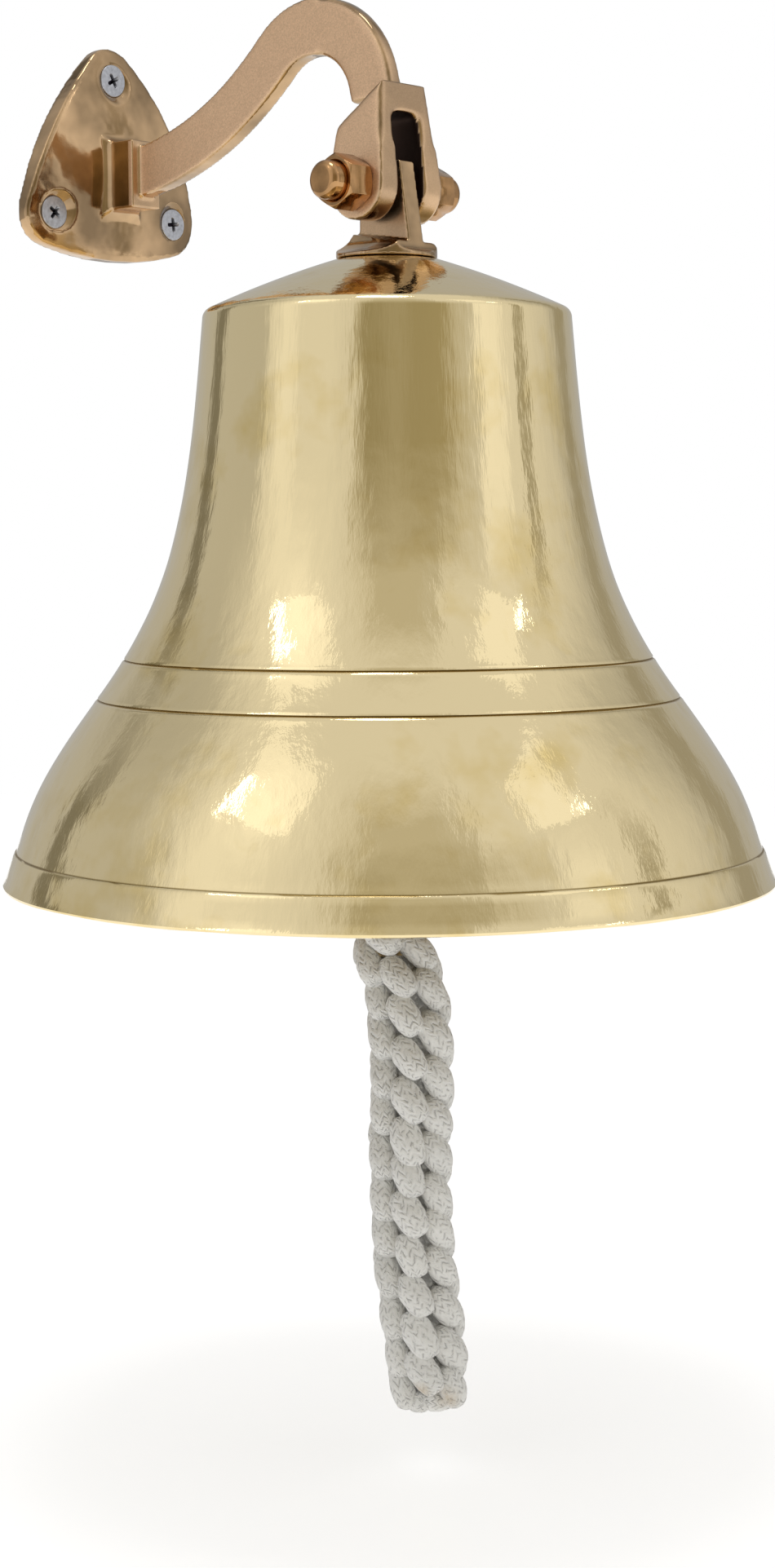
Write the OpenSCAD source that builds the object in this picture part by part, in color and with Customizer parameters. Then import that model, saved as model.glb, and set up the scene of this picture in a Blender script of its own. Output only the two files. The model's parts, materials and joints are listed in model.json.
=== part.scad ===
// Ship's bell hung from a swan-neck wall bracket, with its clapper and bell rope.
//
// X = 0 is the wall and +X leads away from it, Y runs along the pivot stud, and Z is up.
// The origin is the centre of the wall screws' circle, on the bracket's back face.

/* [Bell] */
// Outside diameter of the bell at its mouth
mouth_d = 178; // [142:1:186]
// Outside diameter of the bell at its shoulder
shoulder_d = 84; // [68:1:104]
// Height of the bell from its mouth to its shoulder
bell_h = 131; // [108:1:160]
// Height of the crown above the shoulder, at the hanger's foot
crown_rise = 11; // [6:0.5:16]
// Thickness of the bell's side wall
bell_wall = 4; // [3:0.25:5]
// Extra thickness of the sound bow, which the clapper strikes
bow_extra = 3; // [0:0.25:4]
// Height of the thickest place of the sound bow above the mouth
bow_h = 15; // [10:1:20]
// Thickness of the crown
crown_wall = 5; // [3.5:0.25:7]
// Radius of the shoulder's edge
edge_r = 2.5; // [1:0.25:4]
// Height of the raised band round the lip
lip_band_h = 8; // [4:0.5:12]
// How far the lip band stands out from the wall
lip_band_step = 0.5; // [0.3:0.1:1]
// Height of the lower engraved ring above the mouth
lower_ring_h = 42.5; // [30:0.5:60]
// Distance from the lower engraved ring up to the upper one
ring_gap = 9; // [4:0.5:20]
// Depth of an engraved ring
ring_depth = 0.4; // [0.2:0.1:0.8]

/* [Bracket] */
// Distance from the wall to the axis of the bell
projection = 98; // [95:1:125]
// Height of the screw circle's centre above the pivot stud
pivot_drop = 12; // [4:1:20]
// Thickness of the wall plate at its centre
plate_t = 7.5; // [6:0.5:10]
// Radius of the wall plate's domed face
plate_dome_r = 110; // [90:5:200]
// Width of metal round each wall screw's centre
plate_margin = 8; // [7:0.5:12]
// Radius of the wall plate's three bowed sides
plate_side_r = 80; // [60:5:150]
// Width of the boss that the arm grows from
boss_w = 9; // [7:0.5:12]
// Height of the boss
boss_h = 16.5; // [14:0.5:22]
// How far the boss stands out of the wall plate
boss_l = 9; // [5:0.5:14]
// Radius of the fillet round the boss
boss_fillet = 3.5; // [2:0.5:5]
// Width of the arm, along the pivot stud
arm_w = 4.5; // [4:0.5:8]
// Depth of the arm at the boss
arm_h = 12; // [10:0.5:14]
// Depth of the arm at the fork
arm_end_h = 13.4; // [11:0.2:15]
// Depth of the arm's root below the screw circle's centre
arm_drop = 1.5; // [0:0.5:4]
// Slope of the arm as it leaves the boss
root_slope = 8; // [0:1:20]
// Slope of the arm as it reaches the hump
rise_slope = 42; // [30:1:55]
// Radius of the hump, along the middle of the arm
hump_r = 18.8; // [16:0.2:24]
// Distance from the pivot stud back to the hump's centre
hump_back = 22; // [18:0.5:28]
// Height of the hump's centre above the pivot stud
hump_up = 19.5; // [16:0.5:26]

/* [Fork] */
// Depth of the fork from front to back
fork_depth = 16; // [13:0.5:20]
// Width of the fork at the pivot stud
fork_w = 20.5; // [18:0.5:26]
// Width of the fork at its top
fork_top_w = 15.5; // [12:0.5:18]
// Width of the slot that the hanger swings in
slot_w = 8.5; // [7:0.25:10]
// Height of the slot's top above the pivot stud
slot_top = 16; // [12:0.5:18]
// Radius of the slot's upper corners
slot_corner_r = 2; // [0.5:0.25:3]
// Height of the fork's front ridge above the pivot stud
fork_front_top = 23; // [21:0.5:30]
// Height of the fork's back edge above the pivot stud
fork_back_top = 13.3; // [9:0.1:18]
// How far the front face leans back at the ridge
fork_lean = 2.5; // [0:0.5:5]

/* [Pivot] */
// Diameter of the pivot stud
stud_d = 8.6; // [6:0.1:9.4]
// Length of the pivot stud
stud_l = 42.5; // [40:0.5:60]
// Size of the pivot nuts across their flats
pivot_nut_af = 10.8; // [10.6:0.1:14]
// Height of a pivot nut
pivot_nut_h = 7; // [5:0.5:8]
// Height of the pivot stud above the hanger's foot
pivot_rise = 16; // [14:0.5:20]

/* [Hanger] */
// Thickness of the lug that hangs on the pivot stud
lug_t = 5; // [4:0.25:6]
// Depth of the lug from front to back, at its top
lug_depth = 12.5; // [12:0.5:15]
// How far the lug's front edge slopes out on its way down to the foot
lug_slope = 3.5; // [0:0.5:4]
// Height of the lug's top above the pivot stud
lug_top = 5.5; // [5:0.25:8]
// Radius of the flared foot
foot_r = 11.5; // [9:0.5:14]
// Diameter of the threaded shank that passes through the crown
shank_d = 10; // [8:0.5:11]
// Size of the crown nut across its flats
crown_nut_af = 16; // [14:0.5:19]
// Height of the crown nut
crown_nut_h = 6; // [5:0.5:9]
// Thickness of the crown washer
washer_t = 1.6; // [1:0.1:3]
// Radius of the crown washer
washer_r = 10; // [9:0.5:13]

/* [Clapper] */
// Height of the collar that carries the clapper's eye
eye_collar_h = 6.5; // [5:0.5:9]
// Radius of the clapper's eye, outside
eye_r = 6.5; // [6:0.25:8]
// Radius of the hole in the clapper's eye
eye_hole_r = 3.6; // [3.2:0.1:4]
// Thickness of the clapper's eye
eye_t = 5; // [4:0.25:5.5]
// Radius of the clapper's ring, along the middle of its wire
ring_r = 7.5; // [7:0.25:9]
// Radius of the ring's wire
ring_wire_r = 2.3; // [2:0.1:2.5]
// Radius of the clapper's rod
rod_r = 3.5; // [3:0.25:4.5]
// Radius of the clapper's ball
ball_r = 17; // [13:0.5:18]
// Height of the ball's centre above the bell's mouth
ball_h = 20; // [18:0.5:26]
// Depth of the tail eye's hole below the bell's mouth
tail_drop = 3; // [2:0.5:8]
// Radius of the tail eye, outside
tail_r = 5.5; // [5:0.25:7]
// Radius of the hole in the tail eye
tail_hole_r = 3; // [2.6:0.1:3.4]
// Thickness of the tail eye
tail_t = 3.2; // [2.5:0.1:4]

/* [Rope] */
// Diameter of the bell rope
rope_d = 20.6; // [17:0.2:25]
// Radius of the rope's eye, along the middle of its strand
rope_eye_r = 5.5; // [5:0.25:7]
// Radius of the strand that forms the eye
rope_strand_r = 2; // [1.6:0.1:2.2]
// Radius of the whipping round the neck of the eye
whipping_r = 6; // [5:0.25:8]
// Length of the whipping
whipping_l = 4.5; // [3:0.25:7]

/* [Wall screws] */
// Diameter of the circle that the three wall screws lie on
screw_pcd = 45; // [40:1:60]
// Diameter of a screw's head
screw_head_d = 7.8; // [6.5:0.1:9]
// Diameter of a screw's thread
screw_thread_d = 4.2; // [3.5:0.1:5]
// Length of the thread behind the wall plate, without the point
screw_thread_l = 5.4; // [4:0.2:40]
// Length of a screw's point
screw_point_l = 2.6; // [2:0.1:5]

/* [Fits] */
// Radial clearance of the hanger's lug on the pivot stud
pivot_fit = 0.06; // [0.02:0.01:0.1]
// Radial clearance of each thread in what it screws into or passes through
thread_fit = 0.05; // [0.02:0.01:0.1]
// Gap between a screw's head and its countersink
seat_gap = 0.05; // [0.02:0.01:0.1]

/* [Hidden] */
$fn = 96;
eps = 0.01;

brass = [0.80, 0.72, 0.47];
bronze = [0.74, 0.58, 0.44];
zinc = [0.66, 0.67, 0.72];
cotton = [0.93, 0.91, 0.86];
twine = [0.70, 0.62, 0.48];

// Heights, from the mouth up. The crown is flat under the hanger's foot.
crown_h = bell_h + crown_rise;
mouth_z = -pivot_drop - pivot_rise - crown_h;
upper_ring_h = lower_ring_h + ring_gap;

// Growth of the bell's radius from its shoulder to its mouth. Each station holds its share of
// the height, its share of the growth, and the slope there.
FLARE = [[0, 1, -1.05], [0.156, 0.845, -1.26], [0.342, 0.515, -2.0], [0.584, 0.174, -0.8],
         [1, 0, -0.25]];
side_steps = 32;
bow_reach = 24;

// Depths below the pivot stud, down to the clapper
shank_r = shank_d / 2;
washer_z = -pivot_rise - crown_wall;
crown_nut_z = washer_z - washer_t;
collar_z = crown_nut_z - crown_nut_h - 0.4;
collar_r = shank_r + 2.5;
eye_z = collar_z - eye_collar_h - eye_r;
ring_z = eye_z - ring_r;
rod_top_z = ring_z - ring_r;

// Heights above the bell's mouth, down to the rope
tail_z = -tail_drop;
tail_collar_h = 2.6;
tail_collar_top = ball_h - ball_r * 0.96;
rope_eye_z = tail_z - rope_eye_r;
whipping_top_z = rope_eye_z - rope_eye_r + 1;

// Route of the bell rope, from the tail eye's hole down to its free end, measured from the
// middle of the bell's mouth. It is a stiff sinnet, so it keeps a slight bow as it hangs.
ROPE_ROUTE = [[0, 0, -15], [1.5, 0.3, -18], [4, 1, -26], [5.5, 1.5, -42], [5, 1.5, -64],
              [6, 1.5, -86], [8, 2, -104], [9.5, 2.5, -118], [10, 2.5, -124], [10.3, 2.5, -126]];
ROPE_GIRTH = [0.6, 0.92, 1, 1, 1, 1, 1, 0.97, 0.78, 0.45];
rope_sides = 12;

// Wall plate and arm
screw_angles = [90, 210, 330];
screw_c = screw_pcd / 2;
half_chord = screw_c * sin(60);
side_half_angle = asin(half_chord / (plate_side_r - plate_margin));
side_c = (plate_side_r - plate_margin) * cos(side_half_angle) - screw_c / 2;
arm_root = [plate_t + boss_l - 3, -arm_drop];
hump_c = [projection - hump_back, hump_up - pivot_drop];
hump_start = hump_c + hump_r * [-sin(rise_slope), cos(rise_slope)];
arm_reach = norm(hump_start - arm_root) * 0.36;
arm_steps = 20;

// Wall screws
head_r = screw_head_d / 2;
thread_r = screw_thread_d / 2;
neck_r = thread_r - 0.35;
hole_r = thread_r + 0.3;
head_rim = 0.4;
plate_x_at_screw = plate_t - plate_dome_r + sqrt(pow(plate_dome_r, 2) - pow(screw_c, 2));
head_top = plate_x_at_screw - 0.4;
head_foot = head_top - head_rim - (head_r - neck_r);

module at_pivot() translate([projection, 0, -pivot_drop]) children();
module at_mouth() translate([projection, 0, mouth_z]) children();
module along_x() rotate([0, 90, 0]) children();
module along_y() rotate([-90, 0, 0]) children();
module at_screw(angle) translate([0, screw_c * cos(angle), screw_c * sin(angle)]) children();

// Cubic curve between two stations [place, value, slope]
function hermite(a, b, t) =
    let (w = b[0] - a[0], u = (t - a[0]) / w)
    a[1] * (1 + 2 * u) * pow(1 - u, 2) + b[1] * u * u * (3 - 2 * u)
    + w * (a[2] * u * pow(1 - u, 2) - b[2] * u * u * (1 - u));

function growth(t, i = 0) =
    t <= FLARE[i + 1][0] || i == len(FLARE) - 2 ? hermite(FLARE[i], FLARE[i + 1], t) : growth(t, i + 1);

function wall_r(h) =
    let (mouth_r = mouth_d / 2 - lip_band_step)
    shoulder_d / 2 + (mouth_r - shoulder_d / 2) * growth(h / (bell_h - edge_r));

function wall_t(h) = bell_wall + bow_extra * pow(max(0, 1 - pow((h - bow_h) / bow_reach, 2)), 2);

function inside_r(h) = wall_r(h) - wall_t(h);

// Top of the crown at a radius, outside the flat seat of the hanger's foot
edge_top = [shoulder_d / 2 - edge_r + edge_r * cos(65), bell_h - edge_r + edge_r * sin(65)];
function crown_z(r) =
    let (s = (r - foot_r) / (edge_top[0] - foot_r))
    crown_h - (crown_h - edge_top[1]) * s * (0.8 + 0.2 * s);

function bell_outside() = concat(
    [[wall_r(0) + lip_band_step - 0.4, 0], [wall_r(0) + lip_band_step, 0.4]],
    [for (i = [1 : 3]) let (h = lip_band_h * i / 3) [wall_r(h) + lip_band_step, h]],
    [[wall_r(lip_band_h + 0.3), lip_band_h + 0.3]],
    [for (i = [1 : side_steps])
        let (h = lip_band_h + (bell_h - edge_r - lip_band_h) * i / side_steps) [wall_r(h), h]],
    [for (a = [13 : 13 : 65])
        [shoulder_d / 2 - edge_r + edge_r * cos(a), bell_h - edge_r + edge_r * sin(a)]],
    [for (i = [9 : -1 : 0]) let (r = foot_r + (edge_top[0] - foot_r) * i / 10) [r, crown_z(r)]],
    [[shank_r + thread_fit, crown_h]]);

function bell_inside() =
    let (top = bell_h - crown_wall - 2, top_r = inside_r(top) - 1.5)
    concat(
        [[shank_r + thread_fit, crown_h - crown_wall]],
        [for (i = [0 : 8])
            let (r = foot_r + (top_r - foot_r) * i / 8) [r, crown_z(r) - crown_wall]],
        [for (i = [side_steps : -1 : 0]) let (h = top * i / side_steps) [inside_r(h), h]]);

module bell_shell()
    color(brass) at_mouth() difference() {
        rotate_extrude() polygon(concat(bell_outside(), bell_inside()));
        for (h = [lower_ring_h, upper_ring_h])
            rotate_extrude() translate([wall_r(h), h]) circle(r = ring_depth);
    }

// Outline of the wall plate: three round corners joined by three bowed sides
function plate_outline() = [for (a = screw_angles) each concat(
    [for (b = [side_half_angle - 60 : (60 - side_half_angle) / 6 : 60 - side_half_angle])
        screw_c * [cos(a), sin(a)] + plate_margin * [cos(a + b), sin(a + b)]],
    [for (b = [-side_half_angle * 0.9 : side_half_angle * 0.3 : side_half_angle * 0.91])
        -side_c * [cos(a + 60), sin(a + 60)] + plate_side_r * [cos(a + 60 + b), sin(a + 60 + b)]])];

// Half of a block's section: its side runs into the plate through a concave fillet
function boss_edge(half) =
    let (base = plate_t - 1, f = boss_fillet)
    concat([[0, half + f]],
        [for (a = [0 : 15 : 90]) [base + f - f * cos(a), half + f - f * sin(a)]],
        [[plate_t + boss_l, half]]);

function mirrored(pts) =
    concat(pts, [for (i = [len(pts) - 1 : -1 : 0]) [pts[i][0], -pts[i][1]]]);

module boss()
    translate([0, 0, -arm_drop]) intersection() {
        linear_extrude(boss_h * 3, center = true) polygon(mirrored(boss_edge(boss_w / 2)));
        rotate([90, 0, 0]) linear_extrude(boss_w * 3, center = true)
            polygon(mirrored(boss_edge(boss_h / 2)));
    }

// The arm's middle line: a curve out of the boss, then an arc over the hump into the fork
function arm_line() =
    let (p1 = arm_root + arm_reach * [cos(root_slope), sin(root_slope)],
         p2 = hump_start - arm_reach * [cos(rise_slope), sin(rise_slope)])
    concat(
        [for (i = [0 : arm_steps - 1]) let (t = i / arm_steps, s = 1 - t)
            s * s * s * arm_root + 3 * s * s * t * p1 + 3 * s * t * t * p2 + t * t * t * hump_start],
        [for (i = [0 : arm_steps]) let (a = (90 + rise_slope) * (1 - i / arm_steps))
            hump_c + hump_r * [cos(a), sin(a)]]);

function arm_outline(side) =
    let (line = arm_line(), last = len(line) - 1)
    [for (i = [0 : last])
        let (d = line[min(i + 1, last)] - line[max(i - 1, 0)],
             depth = arm_h + (arm_end_h - arm_h) * i / last)
        line[i] + side * depth / 2 * [-d[1], d[0]] / norm(d)];

module arm()
    let (top = arm_outline(1), under = arm_outline(-1))
    rotate([90, 0, 0]) linear_extrude(arm_w, center = true)
        polygon(concat(top, [for (i = [len(under) - 1 : -1 : 0]) under[i]]));

module fork()
    at_pivot() difference() {
        intersection() {
            rotate([90, 0, 0]) linear_extrude(fork_w, center = true) union() {
                circle(d = fork_depth);
                polygon([[fork_depth / 2, 0], [fork_depth / 2 - fork_lean, fork_front_top],
                         [-fork_depth / 2, fork_back_top], [-fork_depth / 2, 0]]);
            }
            rotate([90, 0, 90]) linear_extrude(fork_depth, center = true)
                polygon(mirrored_y([[-fork_w / 2, -fork_depth / 2], [-fork_w / 2, 0],
                                    [-fork_top_w / 2, fork_front_top]]));
        }
        for (cut = [[slot_w / 2, slot_top - slot_corner_r], [slot_w / 2 - slot_corner_r, slot_top]])
            translate([-fork_depth, -cut[0], -fork_depth])
                cube([fork_depth * 2, cut[0] * 2, fork_depth + cut[1]]);
        for (side = [-1, 1])
            translate([-fork_depth, side * (slot_w / 2 - slot_corner_r), slot_top - slot_corner_r])
                along_x() cylinder(h = fork_depth * 2, r = slot_corner_r);
        along_y() cylinder(h = fork_w * 2, r = stud_d / 2 + thread_fit, center = true);
    }

function mirrored_y(pts) =
    concat(pts, [for (i = [len(pts) - 1 : -1 : 0]) [-pts[i][0], pts[i][1]]]);

module plate()
    intersection() {
        rotate([90, 0, 90]) linear_extrude(plate_t) polygon(plate_outline());
        translate([plate_t - plate_dome_r, 0, 0]) sphere(r = plate_dome_r, $fn = 180);
    }

module screw_hole()
    along_x() {
        translate([0, 0, -1]) cylinder(h = plate_t + 2, r = hole_r);
        let (r = neck_r + seat_gap, up = plate_t - head_foot)
            translate([0, 0, head_foot]) cylinder(h = up, r1 = r, r2 = r + up);
    }

module wall_bracket()
    color(bronze) union() {
        difference() {
            union() {
                plate();
                boss();
            }
            for (a = screw_angles) at_screw(a) screw_hole();
        }
        arm();
        fork();
    }

module wall_screw(angle)
    color(zinc) at_screw(angle) along_x() difference() {
        union() {
            translate([0, 0, head_top - head_rim]) cylinder(h = head_rim, r = head_r);
            translate([0, 0, head_foot])
                cylinder(h = head_r - neck_r, r1 = neck_r, r2 = head_r);
            translate([0, 0, -eps]) cylinder(h = head_foot + 2 * eps, r = neck_r);
            translate([0, 0, -screw_thread_l]) cylinder(h = screw_thread_l, r = thread_r);
            translate([0, 0, -screw_thread_l - screw_point_l])
                cylinder(h = screw_point_l, r1 = 0.3, r2 = thread_r);
        }
        for (turn = [0, 90])
            rotate([0, 0, turn]) translate([-head_r * 0.6, -0.5, head_top - 1.6])
                cube([head_r * 1.2, 1, 2]);
    }

module pivot_stud()
    let (r = stud_d / 2, bevel = 1)
    color(bronze) at_pivot() along_y() {
        cylinder(h = stud_l - 2 * bevel, r = r, center = true);
        for (end = [0, 1])
            mirror([0, 0, end]) translate([0, 0, stud_l / 2 - bevel])
                cylinder(h = bevel, r1 = r, r2 = r - bevel);
    }

// A hexagon nut on Z, from 0 up, with bevelled corners
module hex_nut(af, h, bore_r)
    let (corner_r = af / sqrt(3), bevel = corner_r - af / 2)
    difference() {
        intersection() {
            cylinder(h = h, r = corner_r, $fn = 6);
            rotate_extrude()
                polygon([[0, 0], [af / 2, 0], [corner_r, bevel], [corner_r, h - bevel], [af / 2, h], [0, h]]);
        }
        translate([0, 0, -1]) cylinder(h = h + 2, r = bore_r);
    }

module pivot_nut(side)
    color(bronze) at_pivot() mirror([0, side < 0 ? 1 : 0, 0])
        translate([0, fork_w / 2 + eps, 0]) along_y()
            hex_nut(pivot_nut_af, pivot_nut_h, stud_d / 2 + thread_fit);

// Half of the foot's outline across one side of the lug: a thin rim, then a concave sweep
function foot_edge(neck) =
    let (rim = 1, f = foot_r - neck)
    concat([[foot_r, 0], [foot_r, rim]],
        [for (a = [10 : 10 : 90]) [foot_r - f * sin(a), rim + f * (1 - cos(a))]]);

function foot_outline(back, front) =
    let (edge = foot_edge(back))
    concat(foot_edge(front), [for (i = [len(edge) - 1 : -1 : 0]) [-edge[i][0], edge[i][1]]]);

// The foot is round, and sweeps up to the lug's four sides
module foot()
    let (side = min(lug_t / 2 + 1, slot_w / 2 - 0.7), back = lug_depth / 2 + 0.5,
         front = lug_depth / 2 + lug_slope * 0.85)
    intersection() {
        cylinder(h = foot_r, r = foot_r);
        rotate([90, 0, 0]) linear_extrude(foot_r * 2, center = true)
            polygon(foot_outline(back, front));
        rotate([90, 0, 90]) linear_extrude(foot_r * 2, center = true)
            polygon(foot_outline(side, side));
    }

module hanger()
    color(bronze) at_pivot() difference() {
        union() {
            rotate([90, 0, 0]) linear_extrude(lug_t, center = true)
                polygon([[-lug_depth / 2, -pivot_rise], [lug_depth / 2 + lug_slope, -pivot_rise],
                         [lug_depth / 2, lug_top], [-lug_depth / 2, lug_top]]);
            translate([0, 0, -pivot_rise]) foot();
            translate([0, 0, collar_z - eye_collar_h + 2])
                cylinder(h = -pivot_rise - collar_z + eye_collar_h - 2 + eps, r = shank_r);
        }
        along_y() cylinder(h = fork_w, r = stud_d / 2 + pivot_fit, center = true);
    }

module crown_washer()
    color(brass) at_pivot() translate([0, 0, crown_nut_z]) difference() {
        cylinder(h = washer_t - eps, r = washer_r);
        translate([0, 0, -1]) cylinder(h = washer_t + 2, r = shank_r + thread_fit);
    }

module crown_nut()
    color(brass) at_pivot() translate([0, 0, crown_nut_z - crown_nut_h - eps])
        hex_nut(crown_nut_af, crown_nut_h, shank_r + thread_fit);

// A collar on Z above a flat eye. The eye's hole lies at the origin, along X.
module eye_nut(collar_h, collar_r, outer_r, hole_r, thick, thread_r, thread_l)
    difference() {
        union() {
            translate([0, 0, outer_r - 1]) cylinder(h = collar_h + 1, r = collar_r);
            along_x() cylinder(h = thick, r = outer_r, center = true);
            translate([-thick / 2, -collar_r * 0.7, 0]) cube([thick, collar_r * 1.4, outer_r]);
        }
        along_x() cylinder(h = thick * 3, r = hole_r, center = true);
        translate([0, 0, outer_r + collar_h - thread_l])
            cylinder(h = thread_l + 1, r = thread_r + thread_fit);
    }

module clapper_eye()
    color(brass) at_pivot() translate([0, 0, eye_z])
        eye_nut(eye_collar_h, collar_r, eye_r, eye_hole_r, eye_t, shank_r, eye_collar_h - 1.8);

// A closed ring of round wire in the XZ plane
module wire_ring(mean_r, wire_r)
    rotate([90, 0, 0]) rotate_extrude() translate([mean_r, 0]) circle(r = wire_r, $fn = 32);

module clapper_rod()
    let (low = mouth_z + tail_collar_top - tail_collar_h + 0.5, top = rod_top_z - pivot_drop)
    color(bronze) {
        at_pivot() translate([0, 0, ring_z]) wire_ring(ring_r, ring_wire_r);
        translate([projection, 0, low]) cylinder(h = top - low, r = rod_r);
        translate([projection, 0, top - 4]) cylinder(h = 5, r1 = rod_r, r2 = rod_r + 1);
    }

module clapper_ball()
    color(bronze) at_mouth() translate([0, 0, ball_h]) difference() {
        intersection() {
            sphere(r = ball_r);
            cylinder(h = ball_r * 1.92, r = ball_r + 1, center = true);
        }
        cylinder(h = ball_r * 3, r = rod_r + thread_fit, center = true);
    }

module tail_eye()
    color(brass) at_mouth() translate([0, 0, tail_z]) rotate([0, 0, 90])
        eye_nut(tail_collar_top - tail_z - tail_r - eps, rod_r + 1.5, tail_r, tail_hole_r, tail_t,
                rod_r, tail_collar_h);

module rope_eye()
    color(cotton) at_mouth() translate([0, 0, rope_eye_z]) rotate([0, 0, 90])
        wire_ring(rope_eye_r, rope_strand_r);

module rope_whipping()
    color(twine) at_mouth() translate([0, 0, whipping_top_z - whipping_l])
        cylinder(h = whipping_l, r = whipping_r);

// A closed tube through level rings
module tube(route, girth, d, sides) {
    last = len(route) - 1;
    points = [for (i = [0 : last], j = [0 : sides - 1])
        route[i] + girth[i] * d / 2 * [cos(360 * j / sides), sin(360 * j / sides), 0]];
    sleeve = [for (i = [0 : last - 1], j = [0 : sides - 1])
        let (k = (j + 1) % sides)
        [i * sides + j, i * sides + k, (i + 1) * sides + k, (i + 1) * sides + j]];
    polyhedron(points, concat(sleeve, [[for (j = [sides - 1 : -1 : 0]) j],
                                       [for (j = [0 : sides - 1]) last * sides + j]]));
}

module bell_rope()
    color(cotton) at_mouth() tube(ROPE_ROUTE, ROPE_GIRTH, rope_d, rope_sides);

wall_bracket();
wall_screw(90);  // wall_screw_top
wall_screw(210);  // wall_screw_left
wall_screw(330);  // wall_screw_right
pivot_stud();
pivot_nut(-1);  // pivot_nut_left
pivot_nut(1);  // pivot_nut_right
bell_shell();
hanger();
crown_washer();
crown_nut();
clapper_eye();
clapper_rod();
clapper_ball();
tail_eye();
rope_eye();
rope_whipping();
bell_rope();
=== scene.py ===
"""Ship's bell on its swan-neck wall bracket, with its clapper and its plaited bell rope."""

import json
import math
import random

import bmesh
import bpy
from bpy.props import FloatProperty, FloatVectorProperty, IntProperty, PointerProperty
from mathutils import Matrix, Vector, noise as noise_at


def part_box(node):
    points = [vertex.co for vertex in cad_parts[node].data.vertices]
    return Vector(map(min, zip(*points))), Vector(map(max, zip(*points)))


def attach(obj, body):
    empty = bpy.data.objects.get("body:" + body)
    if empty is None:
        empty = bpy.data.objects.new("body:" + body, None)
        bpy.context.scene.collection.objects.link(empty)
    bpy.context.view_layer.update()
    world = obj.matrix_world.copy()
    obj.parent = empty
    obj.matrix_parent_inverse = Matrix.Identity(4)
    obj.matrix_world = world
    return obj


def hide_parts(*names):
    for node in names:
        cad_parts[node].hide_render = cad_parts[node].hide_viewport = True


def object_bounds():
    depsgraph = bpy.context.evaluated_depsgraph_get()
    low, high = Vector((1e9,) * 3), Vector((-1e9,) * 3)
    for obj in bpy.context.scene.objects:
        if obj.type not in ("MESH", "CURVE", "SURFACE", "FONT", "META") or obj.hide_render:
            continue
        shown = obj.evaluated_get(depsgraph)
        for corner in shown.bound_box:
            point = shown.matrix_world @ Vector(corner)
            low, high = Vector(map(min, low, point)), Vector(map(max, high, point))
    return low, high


bl_info = {
    "name": "Ship's Bell",
    "version": (1, 0, 0),
    "blender": (4, 5, 0),
    "location": "View3D > Sidebar > Ship's Bell",
    "description": "Models a brass ship's bell, its bronze bracket, its clapper and its bell rope",
    "category": "Object",
}

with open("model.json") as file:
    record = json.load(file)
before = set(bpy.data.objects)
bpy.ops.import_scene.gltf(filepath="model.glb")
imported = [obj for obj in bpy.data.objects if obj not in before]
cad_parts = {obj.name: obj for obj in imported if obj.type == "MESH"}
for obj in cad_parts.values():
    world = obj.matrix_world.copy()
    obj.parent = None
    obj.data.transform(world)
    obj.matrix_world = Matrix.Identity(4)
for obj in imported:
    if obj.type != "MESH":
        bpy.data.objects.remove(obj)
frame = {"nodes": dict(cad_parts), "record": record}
CAD_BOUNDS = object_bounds()

MM = 0.001
BODY_OF = {node: body for body, nodes in frame["record"]["behaviour"]["bodies"].items() for node in nodes}

BELL_LOW, BELL_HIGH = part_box("bell_shell")
STUD_LOW, STUD_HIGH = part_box("pivot_stud")
AXIS_X = (BELL_LOW.x + BELL_HIGH.x) / 2
PIVOT = Vector((AXIS_X, 0, (STUD_LOW.z + STUD_HIGH.z) / 2))
MOUTH = Vector((AXIS_X, 0, BELL_LOW.z))

# Route of the bell rope from under its eye to its free end, from the middle of the bell's mouth,
# in millimetres, and its girth at each of those points, as a share of its diameter
ROPE_ROUTE = [(0, 0, -15), (1.5, 0.3, -18), (4, 1, -26), (5.5, 1.5, -42), (5, 1.5, -64),
              (6, 1.5, -86), (8, 2, -104), (9.5, 2.5, -118), (10, 2.5, -124), (10.3, 2.5, -126)]
ROPE_GIRTH = (0.86, 0.97, 1, 1, 1, 1, 1, 0.97, 0.78, 0.45)

# Growth of the bell's radius from its shoulder to its mouth: share of the height, share of the
# growth, and the slope there
FLARE = [(0, 1, -1.05), (0.156, 0.845, -1.26), (0.342, 0.515, -2.0), (0.584, 0.174, -0.8), (1, 0, -0.25)]

# The camera's heading and pitch, its distance and its roll
CAMERA_AZIMUTH = 43.25
CAMERA_PITCH = 5.617
CAMERA_ROLL = -0.269
CAMERA_DISTANCE = 0.60796
CAMERA_AIM = Vector((0.098, 0, -0.14784))
CAMERA_ASIDE = -0.000392


# Light of the studio's walls at angles round the bell, from straight behind it, by way of the
# camera's left, in front of it at 0, and its right: near eye level, and high up. The dark stretch
# in front is the warm side of the room.
ROOM_LOW = [(-180, 0.45, 0), (-131, 0.50, 0), (-127, 0.22, 0.4), (-120, 0.22, 0.4), (-116, 0.54, 0), (-80, 0.53, 0),
            (-76, 0.72, 0), (-66, 0.92, 0), (-58, 0.90, 0), (-54, 0.79, 0), (-34, 0.79, 0), (-22, 0.73, 0),
            (-17, 0.50, 0.5), (-11, 0.33, 1), (5, 0.40, 0.8), (16, 0.36, 1), (34, 0.38, 1), (42, 0.55, 0.4),
            (53, 0.66, 0), (58, 0.98, 0), (70, 0.95, 0), (76, 0.78, 0), (84.5, 0.78, 0), (86.7, 0.4, 0.5),
            (91, 0.42, 0.5), (92.5, 0.76, 0), (112, 0.66, 0), (124, 0.50, 0), (130, 0.36, 0.4), (138, 0.36, 0.4),
            (142, 0.46, 0), (180, 0.45, 0)]
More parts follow.
